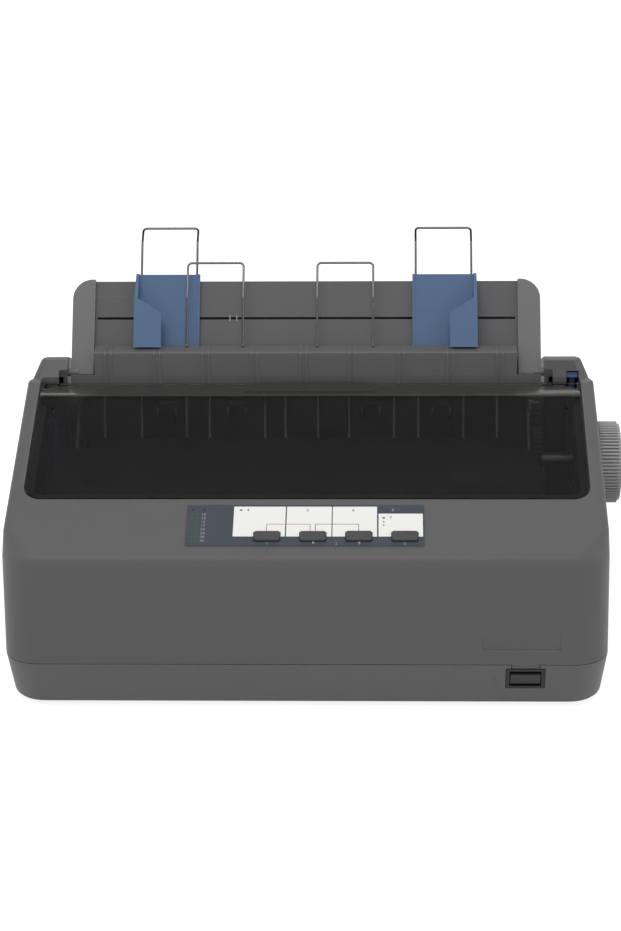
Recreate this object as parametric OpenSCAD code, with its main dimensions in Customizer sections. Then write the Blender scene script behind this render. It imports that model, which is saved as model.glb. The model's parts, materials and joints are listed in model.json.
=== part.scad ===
// Compact dot matrix printer with a smoked cover, a folding paper guide and a tractor.
// X runs across the machine, Y from its front face to its back, Z up from the desk.

/* [Case] */
// Width of the case at the line where its two halves meet
case_w = 352; // [346:1:360]
// Depth of the case
case_d = 275; // [270:1:290]
// Height of the ridge behind the cover
ridge_h = 155.5; // [154:0.5:158]
// Height of the joint between the lower and the upper case
parting_z = 31.5; // [30:0.5:33]
// Wall of the case
wall = 2.6; // [2.2:0.1:3]
// Radius of the upright corners of the case
corner_r = 20; // [14:1:22]
// Height of the top of the front face
front_z = 97; // [95:0.5:99]
// Set-back of the top of the front face
front_y = 3; // [2:0.5:4]
// Slope of the deck
deck_angle = 18.8; // [18:0.1:19.5]
// Radius of the edge between the front face and the deck
brow_r = 8; // [5:0.5:9]
// Lean of the side walls
side_draft = 0.8; // [0.5:0.1:2.5]
// Lean of the lower case's front
tumble = 10; // [6:0.5:12]
// Height of the rubber feet
foot_h = 3; // [2.5:0.1:6]
// Diameter of a rubber foot
foot_d = 16; // [12:0.5:20]

/* [Cover] */
// Width of the smoked cover
cover_w = 330.8; // [326:0.2:332]
// Distance from the front face to the cover's front edge
cover_y = 51.1; // [49:0.1:54]
// Distance from the front face to the bend in the cover
bend_y = 137.1; // [135:0.1:139]
// Distance from the front face to the cover's rear edge
cover_rear_y = 155; // [153.5:0.1:156]
// Thickness of the cover
cover_t = 2.5; // [2:0.1:2.8]
// Corner radius of the cover
cover_r = 10; // [6:0.5:12]
// Gap round the cover
cover_gap = 0.8; // [0.5:0.1:1]
// Width of the finger lip on the cover
lip_w = 80; // [60:1:90]
// Height of the finger lip
lip_h = 1.2; // [0.8:0.1:1.4]

/* [Paper guide] */
// Width of the paper guide
guide_w = 292; // [288:0.5:294]
// Length of the paper guide along its slope
guide_len = 60.4; // [56:0.1:64]
// Slope of the raised paper guide
guide_angle = 55; // [52:0.5:58]
// Width of the guide's side columns
column_w = 14; // [12:0.5:15]
// Depth of the guide's plate behind its columns
guide_step = 3; // [2.5:0.1:3.5]
// Wall of the paper guide
guide_t = 2; // [1.6:0.1:2.4]
// Paper width that the edge guides are set to
paper_w = 210; // [182:1:216]
// Width of one edge guide
edge_w = 40; // [34:0.5:44]
// Length of one edge guide along the slope
edge_len = 50.2; // [46:0.1:52]
// Wall of an edge guide
edge_t = 2; // [1.6:0.1:2.2]
// Width of an edge guide's flap
flap_w = 17; // [12:0.5:20]
// Depth of an edge guide's channel
flap_n = 11; // [8:0.5:12]
// Diameter of the support wires
wire_d = 1.6; // [1.2:0.1:1.8]
// Width of a support wire
wire_w = 34.8; // [30:0.2:36]

/* [Paper exit plate] */
// Height of the exit plate's top
exit_h = 162.4; // [160:0.2:163]
// Distance from the front face to the exit plate's face
exit_y = 158.6; // [158:0.1:160]
// Depth of the exit plate's top
exit_top = 12.4; // [11:0.1:14]
// Width of the exit plate between the guide's columns
exit_w = 260.8; // [255:0.2:262]
// Number of rib pairs on the exit plate
rib_pairs = 9; // [5:1:9]
// Distance between rib pairs
rib_pitch = 30.2; // [26:0.1:31]

/* [Control panel] */
// Width of the control panel label
label_w = 137.4; // [130:0.2:140]
// Length of the label along the deck
label_len = 33.8; // [31:0.1:36]
// Distance along the deck from the front face to the label
label_u = 11.1; // [10:0.1:12]
// Width of a button
button_w = 14.8; // [12:0.1:18]
// Length of a button
button_len = 7.4; // [7:0.1:9]
// Distance between buttons
button_pitch = 26.4; // [24:0.1:27]
// Height that a button stands above the label
button_h = 1.6; // [1.2:0.1:2]
// Travel of a button
button_travel = 1; // [0.6:0.1:1.1]
// Width of the power switch
switch_w = 23; // [21:0.5:25]
// Height of the power switch
switch_h = 14.6; // [13:0.1:15]

/* [Platen and gears] */
// Distance from the front face to the platen's axis
platen_y = 134; // [133:0.2:135]
// Height of the platen's axis
platen_z = 100; // [99:0.2:101]
// Diameter of the platen
platen_d = 26; // [24:0.5:27]
// Length of the platen
platen_len = 262; // [258:0.5:264]
// Diameter of the platen's shaft
shaft_d = 8; // [6:0.5:9]
// Diameter of the platen knob
knob_d = 50; // [40:1:52]
// Distance that the knob stands out past the case's widest line
knob_out = 13.5; // [12:0.5:18]
// Number of grip ribs on the knob
knob_ribs = 72; // [60:1:80]
// Module of the gear teeth
gear_m = 1; // [1:0.02:1.04]
// Width of the gears
gear_w = 5; // [4:0.5:5.5]
// Teeth on the platen's gear
platen_teeth = 40; // [38:1:42]
// Teeth on the feed motor's pinion
pinion_teeth = 12; // [11:1:12]
// Teeth on the two idlers of the tractor drive
idler_teeth = 24; // [23:1:24]
// Teeth on the tractor's gear
tractor_teeth = 20; // [19:1:21]
// Teeth on the paper eject gear
eject_teeth = 12; // [11:1:13]
// Teeth on the eject idler
eject_idler_teeth = 14; // [13:1:15]
// Diameter of the feed motor
motor_d = 38; // [34:0.5:39]
// Length of the feed motor
motor_len = 14; // [12:0.5:15]

/* [Print head and carriage] */
// Width of the print head
head_w = 28; // [24:0.5:32]
// Diameter of the carriage's guide shaft
rod_d = 10; // [8:0.5:11]
// Length of the carriage
carriage_w = 40; // [36:0.5:44]
// Distance that the carriage stands from the middle at rest
carriage_park = 108; // [60:1:110]
// Diameter of the belt pulleys
pulley_d = 12; // [10:0.5:13]
// Width of the belt
belt_w = 6; // [4:0.5:7]
// Width of the ribbon cartridge
cartridge_w = 292; // [288:0.5:296]

/* [Tractor] */
// Distance from the front face to the tractor's drive shaft
tractor_y = 208; // [207:0.2:209]
// Height of the tractor's drive shaft
tractor_z = 98; // [97:0.2:99]
// Width of a tractor unit
tractor_w = 22; // [18:0.5:26]
// Radius of the tractor's sprocket
sprocket_r = 11; // [10:0.5:11.5]
// Distance between the two tractors' sprocket pins
tractor_span = 202; // [180:1:210]

/* [Hidden] */

$fn = 48;
eps = 0.01;
fit = 0.06;            // radial running clearance of a shaft in its bearing
loose = 0.3;           // gap between parts that pass each other
hull_fn = 40;          // roundness of the hulled corners

// ---- places that follow from the sizes above ----
half_w = case_w / 2;
slope = tan(deck_angle);
function deck_z(y) = front_z + (y - front_y) * slope;
function deck_u(y) = (y - front_y) / cos(deck_angle);
function side_x(z) = half_w - (z - parting_z) * tan(side_draft);
strip_z = deck_z(bend_y);
rail_end = cover_rear_y + 3.8;
ridge_y = exit_y + 5;

// Mechanism: its middle lies a little left of the case's middle
mech_x = -4;
bay_left = mech_x + 1 - guide_w / 2 - 1.6;
bay_right = mech_x + 1 + guide_w / 2 + 1.6;
guide_mid = mech_x + 1;
guide_y = exit_y + 7.6;
guide_z = exit_h - 14.3;
pivot_r = 2.5;
frame_t = 1.6;
frame_gap = 6;
plate_left = mech_x - platen_len / 2 - frame_gap;
plate_right = mech_x + platen_len / 2 + frame_gap;
gear_x = plate_right + frame_t + 1.9;
frame_z = 45;
shaft_r = shaft_d / 2;
knob_in = side_x(platen_z - knob_d / 2) + 0.5;
knob_end = half_w + knob_out;

// Gear centres in the YZ plane
function polar(p, r, a) = [p[0] + r * cos(a), p[1] + r * sin(a)];
function heading(p, q) = atan2(q[1] - p[1], q[0] - p[0]);
// Third corner of a triangle on p and q with sides a from p and b from q, to one side of pq
function meet(p, a, q, b, side) =
  let (d = norm(q - p), along = (a * a - b * b + d * d) / (2 * d),
       up = sqrt(max(0, a * a - along * along)))
  p + along * (q - p) / d + side * up * [-(q - p)[1], (q - p)[0]] / d;
// Phase of a gear of nb teeth that meshes with one of na teeth at phase pa, seen along heading a
function mate(pa, na, a, nb) = a + 180 - (0.5 - (a - pa) * na / 360) * 360 / nb;
function pitch_r(n) = n * gear_m / 2;

platen_c = [platen_y, platen_z];
tractor_c = [tractor_y, tractor_z];
eject_c = [platen_y + 22.6, platen_z + 22.5];
motor_a = -55;
motor_c = polar(platen_c, pitch_r(platen_teeth + pinion_teeth), motor_a);
idler_a_dir = -10;
idler_a_c = polar(platen_c, pitch_r(platen_teeth + idler_teeth), idler_a_dir);
idler_b_c = meet(idler_a_c, pitch_r(2 * idler_teeth), tractor_c, pitch_r(idler_teeth + tractor_teeth), -1);
eject_idler_c = meet(platen_c, pitch_r(platen_teeth + eject_idler_teeth), eject_c,
                     pitch_r(eject_idler_teeth + eject_teeth), 1);
pinion_phase = mate(0, platen_teeth, motor_a, pinion_teeth);
idler_a_phase = mate(0, platen_teeth, idler_a_dir, idler_teeth);
idler_b_phase = mate(idler_a_phase, idler_teeth, heading(idler_a_c, idler_b_c), idler_teeth);
tractor_phase = mate(idler_b_phase, idler_teeth, heading(idler_b_c, tractor_c), tractor_teeth);
eject_idler_phase = mate(0, platen_teeth, heading(platen_c, eject_idler_c), eject_idler_teeth);
eject_phase = mate(eject_idler_phase, eject_idler_teeth, heading(eject_idler_c, eject_c), eject_teeth);

// Carriage
rod_y = platen_y - 46;
rod_z = platen_z - 30;
belt_y = rod_y - 15.5;
belt_z = rod_z - 12;
belt_top = belt_z + belt_w;
belt_t = 1;
belt_run = belt_y - pulley_d / 2 - 0.1 - belt_t / 2;
head_nose_y = platen_y - platen_d / 2 - 1.4;
pulley_left = plate_left + 14;
pulley_right = plate_right - 26;

// Boards
board_left = -118;
board_right = 112;
board_front = 40;
board_rear = case_d - 70;
board_t = 1.6;
power_front = case_d - 56;
power_rear = case_d - 18;
carrier_y = case_d - 16;

// ---- shared shapes ----
// The machine's frame: centre of the overall box, on the desk
module place() translate([-knob_out / 2, -case_d / 2, 0]) children();
// A YZ outline drawn out along X
module across(x0, x1) translate([x0, 0, 0]) rotate([90, 0, 90]) linear_extrude(x1 - x0) children();
// A round bar along X at a YZ point
module bar(p, r, x0, x1, fn = 48) translate([x0, p[0], p[1]]) rotate([0, 90, 0]) cylinder(r = r, h = x1 - x0, $fn = fn);
module block(x0, y0, z0, x1, y1, z1) translate([x0, y0, z0]) cube([x1 - x0, y1 - y0, z1 - z0]);
// Flat outline with round corners
module round_rect(x0, y0, x1, y1, r) {
  translate([x0 + r, y0]) square([x1 - x0 - 2 * r, y1 - y0]);
  translate([x0, y0 + r]) square([x1 - x0, y1 - y0 - 2 * r]);
  for (x = [x0 + r, x1 - r], y = [y0 + r, y1 - r]) translate([x, y]) circle(r = r);
}
// The sloping deck: y runs up it, z stands off it
module deck_space() translate([0, front_y, front_z]) rotate([deck_angle, 0, 0]) children();
// The paper guide's plane: y runs up it, z towards the front
module guide_space() translate([guide_mid, guide_y, guide_z]) rotate([guide_angle, 0, 0]) children();
// The lower case's front face: y into the case, z up to the parting line
module face_space(x) translate([x, 0, parting_z]) rotate([tumble, 0, 0]) children();
// A round-edged corner of a hulled form
module corner(x, y, z, r, edge) translate([x, y, z]) rotate_extrude($fn = hull_fn) intersection() {
  translate([r - edge, 0]) circle(r = edge, $fn = hull_fn / 2);
  translate([0, -edge]) square([r + 1, 2 * edge]);
}
module disc(x, y, z, r) translate([x, y, z]) cylinder(r = r, h = eps, $fn = hull_fn);
// A spur gear with its axis along X, centred on a YZ point
module gear(p, teeth, phase, x0, x1, bore) {
  play = 0.36;
  tip_r = pitch_r(teeth) + gear_m * 0.92;
  root_r = pitch_r(teeth) - gear_m * 1.22;
  half = PI * gear_m / 4 - play / 2;
  tip_a = (half - 0.92 * gear_m * tan(20)) / tip_r * 180 / PI;
  root_a = (half + 1.22 * gear_m * tan(20)) / root_r * 180 / PI;
  difference() {
    translate([x0, p[0], p[1]]) rotate([90, 0, 90]) linear_extrude(x1 - x0)
      polygon([for (i = [0:teeth - 1], k = [0:3])
        let (a = phase + i * 360 / teeth + [-root_a, -tip_a, tip_a, root_a][k],
             r = (k == 0 || k == 3) ? root_r : tip_r) [r * cos(a), r * sin(a)]]);
    if (bore > 0) bar(p, bore, x0 - 1, x1 + 1);
  }
}
// A bent wire through points, as a chain of round-ended rods
module wire(points, d) for (i = [0:len(points) - 2]) hull()
  for (k = [0, 1]) translate(points[i + k]) sphere(d = d, $fn = 8);

// ---- case ----
module lower_form(i, top) hull() for (s = [-1, 1]) {
  disc(s * (half_w - corner_r), corner_r, top, corner_r - i);
  disc(s * (half_w - corner_r), case_d - corner_r, top, corner_r - i);
  corner(s * (half_w - base_side - corner_r), base_front + corner_r, foot_h + base_r - i / 2, corner_r - i,
         base_r - i / 2);
  corner(s * (half_w - base_side - corner_r), case_d - base_rear - corner_r, foot_h + base_r - i / 2, corner_r - i,
         base_r - i / 2);
}
base_front = (parting_z - foot_h) * tan(tumble);
base_side = base_front * 0.58;
base_rear = 2;
base_r = 3;
lip_z = 0.6;           // depth of the seam between the case halves
seat = 0.9;            // set-back of the seam's floor

module lower_case() color([0.36, 0.36, 0.37]) place() {
  difference() {
    union() {
      lower_form(0, parting_z - lip_z);
      translate([0, 0, parting_z - lip_z - 1]) linear_extrude(lip_z + 1)
        round_rect(-half_w + seat, seat, half_w - seat, case_d - seat, corner_r - seat);
    }
    difference() {
      translate([0, 0, wall]) lower_form(wall, parting_z);
      for (p = frame_posts) translate([p[0], p[1], 0]) cylinder(d = post_d, h = frame_z);
    }
    translate([0, 0, parting_z - lip_z - 2]) linear_extrude(lip_z + 4)
      round_rect(-half_w + wall, wall, half_w - wall, case_d - wall, corner_r - wall);
    switch_cut();
    // air slots in the floor
    for (i = [-5:5]) translate([i * 9 + 60, case_d - 75, foot_h - 1]) cube([3, 50, wall + 2]);
    for (p = foot_points) translate([p[0], p[1], foot_h - 1]) cylinder(d = foot_d - 6, h = wall + 2);
    for (p = frame_posts) translate([p[0], p[1], foot_h - 1]) cylinder(r = screw_r + fit, h = frame_z);
  }
  // posts that carry the mechanism's frame
  for (p = frame_posts) translate([p[0], p[1], foot_h + wall - 0.5]) difference() {
    cylinder(d = post_d, h = frame_z - foot_h - wall + 0.5);
    translate([0, 0, -1]) cylinder(r = screw_r + fit, h = frame_z);
  }
  // studs that carry the main board
  for (p = board_studs) translate([p[0], p[1], foot_h + wall - 0.5]) cylinder(d = 6, h = board_z - foot_h - wall + 0.5);
}
post_d = 9;
screw_r = 1.75;
board_z = 15;
frame_posts = [for (x = [plate_left + 12, plate_right - 12], y = [102, case_d - 62]) [x, y]];
foot_points = [for (s = [-1, 1], y = [34, case_d - 30]) [s * (half_w - 30), y]];
board_studs = [for (x = [board_left + 8, board_right - 8], y = [board_front + 8, board_rear - 8]) [x, y]];
switch_x = 127.3;
module switch_cut() face_space(switch_x)
  translate([-switch_w / 2, -1, -switch_h - 3.2]) cube([switch_w, wall + 3, switch_h + 8]);

module front_form(i) hull() for (s = [-1, 1]) {
  brow = brow_r - i * 0.8;
  edge = max(2.4 - i, 0.8);
  side_w = side_x(front_z + 8) - 6;
  r = corner_r - i;
  top_w = side_x(front_z) - corner_r;
  rail_w = side_x(ridge_h - 8) - 6;
  disc(s * (half_w - corner_r), corner_r, parting_z - (i > 0 ? 1 : 0), r);
  disc(s * (half_w - 6), rail_end - 6, parting_z - (i > 0 ? 1 : 0), 6 - i);
  // each round rim just touches the deck plane, or the plane one wall below it
  corner(s * top_w, front_y + corner_r,
         deck_z(front_y + i + brow) - (brow + i) / cos(deck_angle), r, brow);
  corner(s * side_w, side_from,
         deck_z(side_from - 6 + i + edge) - (edge + i) / cos(deck_angle), 6 - i, min(edge, 6 - i - 0.1));
  corner(s * rail_w, rail_end - 6,
         deck_z(rail_end - 12 + i + edge) - (edge + i) / cos(deck_angle), 6 - i, min(edge, 6 - i - 0.1));
}
side_from = front_y + 28;  // from here back the deck has the small side edge
rear_slope = 25;
rear_top_z = ridge_h - (case_d - 14 - ridge_y) * tan(rear_slope);
module rear_form(i) hull() for (s = [-1, 1]) {
  r = corner_r - i;
  disc(s * (half_w - 8), rail_end - 24, parting_z - (i > 0 ? 1 : 0), 8 - i);
  disc(s * (half_w - corner_r), case_d - corner_r, parting_z - (i > 0 ? 1 : 0), r);
  // shoulder below the ridge
  disc(s * (side_x(ridge_h - 15) - 6), rail_end - 6 + i, ridge_h - 15 - i, 6 - i);
  // ridge
  corner(s * (ridge_w - 5), ridge_y + 4, ridge_h - 3, 5 - i, 3 - i * 0.6);
  // rear shoulder
  corner(s * (side_x(rear_top_z) - 1 - corner_r), case_d - 2 - corner_r, rear_top_z - 8, r, 8 - i);
}
ridge_w = side_x(ridge_h - 15) - 6.5;
module cover_outline(grow) round_rect(-cover_w / 2 - grow, deck_u(cover_y) - grow,
                                      cover_w / 2 + grow, deck_u(rail_end) + 20, cover_r + grow);
ledge = 5;
well_z = 22;
// Seat and well walls under the cover
module well_walls() intersection() {
  deck_space() union() {
    translate([0, 0, -cover_t - 0.4 - 2]) linear_extrude(2)
      difference() { cover_outline(4); cover_outline(-ledge); }
    translate([0, 0, -cover_t - well_z]) linear_extrude(well_z - 0.4)
      difference() { cover_outline(2 - ledge); cover_outline(-ledge); }
  }
  block(-half_w, 0, parting_z, half_w, bend_y - 6, ridge_h);
}
// Side rails that carry the cover's pins
module pin_rails() for (s = [-1, 1])
  block(s * (half_w - 5) - 6.5, bend_y - 6, strip_z - 9, s * (half_w - 5) + 6.5, rail_end - 0.5, ridge_h);
// Inner walls of the two towers, beside the bay of the tractor
module tower_walls() {
  block(bay_left - wall, exit_y - 1, bay_floor, bay_left, case_d, ridge_h);
  block(bay_right, exit_y - 1, bay_floor, bay_right + wall, case_d, ridge_h);
}
module upper_case() color([0.38, 0.38, 0.39]) place() {
  difference() {
    union() {
      difference() {
        union() { front_form(0); rear_form(0); }
        union() { front_form(wall); rear_form(wall); }
      }
      intersection() {
        union() { front_form(1); rear_form(1); }
        union() {
          well_walls();
          pin_rails();
          tower_walls();
        }
      }
    }
    // recess and opening for the cover
    deck_space() translate([0, 0, -cover_t - 0.4]) linear_extrude(30) intersection() {
      cover_outline(cover_gap);
      translate([-half_w, 0]) square([case_w, deck_u(bend_y) + 1]);
    }
    deck_space() translate([0, 0, -cover_t - well_z - 5]) linear_extrude(60) intersection() {
      cover_outline(-ledge);
      translate([-half_w, 0]) square([case_w, deck_u(bend_y)]);
    }
    // flat recess for the cover's rear strip, and the paper exit behind it
    translate([0, 0, strip_z - cover_t - 0.4]) linear_extrude(40) {
      round_rect(-cover_w / 2 - cover_gap, bend_y - 2 * cover_r, cover_w / 2 + cover_gap, cover_rear_y + 0.4, 2);
      translate([bay_left - 5, bend_y]) square([bay_right - bay_left + 10, rail_end - bend_y + 0.6]);
    }
    block(-cover_w / 2 + ledge - 0.4, bend_y - 8, frame_z, cover_w / 2 - ledge + 0.4, cover_rear_y - 6.5, strip_z + 30);
    block(bay_left, cover_rear_y - 7.5, bay_floor, bay_right, case_d + 1, ridge_h + 5);
    // bores for the cover's pins
    for (s = [-1, 1]) bar(hinge_c, cover_pin_r + fit, s > 0 ? cover_w / 2 : -half_w + 5,
                          s > 0 ? half_w - 5 : -cover_w / 2);
    // room for the cover's rear edge as it swings
    bar(hinge_c, cover_rear_y - hinge_c[0] + 1, -cover_w / 2 - cover_gap, cover_w / 2 + cover_gap);
    // bores for the paper guide's pivots
    bar([pivot_y, pivot_z], pivot_r + fit, bay_left - wall - 1, bay_right + wall + 1);
    // slot for the release lever
    block(lever_x - 3.8, exit_y - 4, lever_tip_z - 4.6, lever_x + 3.8, exit_y + 9, lever_tip_z + 3);
    // way out for the platen's shaft
    bar(platen_c, shaft_r + 2, side_x(platen_z) - 8, half_w + 5);
    // openings for the buttons
    for (i = [0:3]) button_hole(i, 0.35);
    rear_cuts();
    // air slots in the left side
    for (i = [0:8]) block(-half_w - 1, 186 + i * 7, 56, -half_w + 8, 189 + i * 7, 82);
    // recess for a name plate
    translate([badge_x, 0, badge_z])
      block(-badge_w / 2, -1, -badge_h / 2, badge_w / 2, badge_y + 0.4, badge_h / 2);
  }
  // tongue over the power switch
  face_space(switch_x) translate([-8, 0.1, -2.9]) cube([16, wall - 0.4, 3.4]);
}
bay_floor = platen_z - 4;
hinge_c = [cover_rear_y - 4.5, strip_z - cover_t / 2];
cover_pin_r = 1;
pivot_y = guide_y + 0.6;
pivot_z = guide_z - 1.6;
badge_x = 124.5;
badge_z = 45.6;
badge_w = 45.3;
badge_h = 10.6;
badge_y = (badge_z - parting_z) * front_y / (front_z - parting_z);
module rear_cuts() {
  block(inlet_x - 14, case_d - 8, rear_z - 10.5, inlet_x + 14, case_d + 5, rear_z + 10.5);
  for (s = sockets) block(s[0] - s[1] / 2 - 1, case_d - 8, rear_z - s[2] / 2 - 1,
                          s[0] + s[1] / 2 + 1, case_d + 5, rear_z + s[2] / 2 + 1);
}
inlet_x = -118;
rear_z = 58;
// middle, width and height of the parallel, serial and USB sockets
sockets = [[96, 54, 16], [42, 31, 13], [8, 13, 12]];

module rubber_feet() color([0.12, 0.12, 0.12]) place() for (p = foot_points) translate([p[0], p[1], 0]) {
  cylinder(d1 = foot_d - 2, d2 = foot_d, h = 1);
  translate([0, 0, 1]) cylinder(d = foot_d, h = foot_h - 1);
  translate([0, 0, foot_h]) cylinder(d = foot_d - 6 - 2 * fit, h = wall);
}

module case_screws() color([0.7, 0.7, 0.72]) place() for (p = frame_posts)
  translate([p[0], p[1], frame_z + frame_t]) {
    cylinder(d = 6.5, h = 2.2);
    translate([0, 0, -18]) cylinder(r = screw_r, h = 18);
  }

// ---- cover ----
// Side outline of the cover between two depths below its top
function cover_side(top, bottom) = [
  [cover_y, deck_z(cover_y) - top / cos(deck_angle)],
  [bend_y, strip_z - top], [cover_rear_y, strip_z - top],
  [cover_rear_y, strip_z - bottom], [bend_y + bottom * tan(deck_angle / 2), strip_z - bottom],
  [cover_y, deck_z(cover_y) - bottom / cos(deck_angle)]];
module printer_cover() color([0.12, 0.12, 0.13, 0.6]) place() {
  intersection() {
    across(-cover_w / 2, cover_w / 2) polygon(cover_side(0, cover_t));
    deck_space() translate([0, 0, -cover_t - 5]) linear_extrude(60) cover_outline(0);
    linear_extrude(300) round_rect(-cover_w / 2, 0, cover_w / 2, cover_rear_y - 2, cover_r);
  }
  // rear edge, between the rails
  block(bay_left + 2, cover_rear_y - 8, strip_z - cover_t, bay_right - 2, cover_rear_y, strip_z);
  // finger lip
  translate([0, 0, strip_z - 0.2]) linear_extrude(lip_h + 0.2) polygon([
    [-lip_w / 2, cover_rear_y - 13], [lip_w / 2, cover_rear_y - 13],
    [lip_w / 2 - 4.5, cover_rear_y], [-lip_w / 2 + 4.5, cover_rear_y]]);
  // stiffening ribs under the long edges, inside the case's seat
  for (s = [-1, 1]) across(s * (cover_w / 2 - ledge - 4) - 0.8, s * (cover_w / 2 - ledge - 4) + 0.8)
    polygon([[cover_y + 14, deck_z(cover_y + 14) - cover_t + 0.1], [bend_y - 8, deck_z(bend_y - 8) - cover_t + 0.1],
             [bend_y - 8, deck_z(bend_y - 8) - cover_t - 2.6], [cover_y + 14, deck_z(cover_y + 14) - cover_t - 2.6]]);
  // hinge pins
  for (s = [-1, 1]) bar(hinge_c, cover_pin_r, s > 0 ? cover_w / 2 - 6 : -cover_w / 2 - 2.6,
                        s > 0 ? cover_w / 2 + 2.6 : -cover_w / 2 + 6);
}

// ---- paper exit plate and its wires ----
exit_t = 2.2;
exit_bottom = platen_z + 34;
exit_step_z = guide_z - 0.2;
module exit_plate() color([0.33, 0.33, 0.34]) place() difference() {
  union() {
    // face, with the round brow and the flat top
    across(guide_mid - exit_w / 2, guide_mid + exit_w / 2)
      polygon([[exit_y, exit_bottom], [exit_y + 0.9, exit_h - 0.5], [exit_y + 1.4, exit_h],
               [exit_y + exit_top, exit_h], [exit_y + exit_top, exit_h - exit_t],
               [exit_y + 3.4, exit_h - exit_t], [exit_y + exit_t, exit_bottom]]);
    // wings under the guide's columns
    across(guide_mid - guide_w / 2 + 0.4, guide_mid + guide_w / 2 - 0.4)
      polygon([[exit_y, exit_bottom], [exit_y + 0.25, exit_step_z], [exit_y + 4.5, exit_step_z - 1.5],
               [exit_y + exit_t, exit_step_z - 4], [exit_y + exit_t, exit_bottom]]);
    // rib pairs
    for (i = [0:rib_pairs - 1], s = [-1, 1])
      translate([guide_mid - 1 + (i - (rib_pairs - 1) / 2) * rib_pitch + s * 1.8, 0, 0]) across(-0.35, 0.35)
        polygon([[exit_y - 0.7, exit_bottom + 2], [exit_y + 0.2, exit_h - 1], [exit_y + 1.9, exit_h + 0.6],
                 [exit_y + exit_top, exit_h + 0.6], [exit_y + exit_top, exit_h - 1], [exit_y + 3, exit_h - 1],
                 [exit_y + 1, exit_bottom + 2]]);
    // lugs that seat on the towers' walls
    for (x = [[bay_left, guide_mid - guide_w / 2 + 6], [guide_mid + guide_w / 2 - 6, bay_right]])
      block(x[0], exit_y, exit_bottom, x[1], exit_y + exit_t, exit_bottom + 8);
    // bosses for the wires
    for (x = stack_x) translate([x, stack_y, exit_h - 5]) cylinder(d = 4.4, h = 5 - 0.4);
  }
  for (x = stack_x) translate([x, stack_y, exit_h - 6]) cylinder(r = wire_d / 2 + fit, h = 9);
}
stack_y = exit_y + exit_top - 2.4;
stack_mids = [guide_mid - 56.3, guide_mid + 24.6];
stack_x = [for (m = stack_mids, s = [-1, 1]) m + s * (wire_w / 2)];
function stack_path(x) = [[x, stack_y, exit_h - 4.8], [x, stack_y, exit_h + 1.5],
  [x, stack_y + 17.2, exit_h + 26.7], [x, stack_y + 32.9, exit_h + 43.6]];
module stacker_wires() color([0.8, 0.8, 0.82]) place() for (m = stack_mids) {
  a = stack_path(m - wire_w / 2);
  b = stack_path(m + wire_w / 2);
  wire([a[0], a[1], a[2], a[3], b[3], b[2], b[1], b[0]], wire_d);
}

// ---- paper guide ----
slot_u = 34;
slot_h = 1.6;
module paper_guide() color([0.42, 0.42, 0.43]) place() {
  difference() {
    guide_space() {
      // columns: hollow strips that stand in front of the plate
      for (s = [-1, 1]) difference() {
        translate([s > 0 ? guide_w / 2 - column_w : -guide_w / 2, 0, -guide_step - guide_t]) linear_extrude(guide_step + guide_t)
          difference() {
            translate([0, -2.5]) square([column_w, guide_len + 0.6]);
            translate([s > 0 ? column_w - column_r : -1, guide_len - 1.9 - column_r]) square(column_r + 1);
          }
        translate([s > 0 ? guide_w / 2 - column_w + guide_t : -guide_w / 2 + guide_t, 6, -guide_step - guide_t - 1])
          cube([column_w - 2 * guide_t, guide_len - 26, guide_step + 1]);
      }
      for (s = [-1, 1]) translate([s * (guide_w / 2 - column_r), guide_len - 1.9 - column_r, -guide_step - guide_t])
        intersection() {
          cylinder(r = column_r, h = guide_step + guide_t);
          translate([s > 0 ? 0 : -column_r, 0, 0]) cube([column_r, column_r, guide_step + guide_t]);
        }
      // plate between them, with the slot that the edge guides run in
      difference() {
        translate([-guide_w / 2 + column_w - 0.5, 4, -guide_step - guide_t])
          cube([guide_w - 2 * column_w + 1, guide_len - 6.5, guide_t]);
        translate([-guide_w / 2 + column_w + 1.5, slot_u - slot_h / 2, -guide_step - guide_t - 1])
          cube([guide_w - 2 * column_w - 3, slot_h, guide_t + 2]);
      }
      // stiffening ribs behind the plate
      for (u = [8, slot_u + 12]) translate([-guide_w / 2 + column_w - 0.5, u, -guide_step - guide_t - 2.4])
        cube([guide_w - 2 * column_w + 1, 1.6, 2.5]);
    }
    // room for the walls of the bay
    block(-half_w, 0, 0, guide_mid - guide_w / 2, case_d, 300);
    block(guide_mid + guide_w / 2, 0, 0, half_w, case_d, 300);
  }
  // pivots
  for (x = [[bay_left - wall, guide_mid - guide_w / 2 + 5], [guide_mid + guide_w / 2 - 5, bay_right + wall]])
    bar([pivot_y, pivot_z], pivot_r, x[0], x[1]);
}
column_r = 12.5;
edge_u = 11.5;
edge_lift = 0.3;
edge_clear = 1.4;      // side play of the sheet, and the wall's draft
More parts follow.
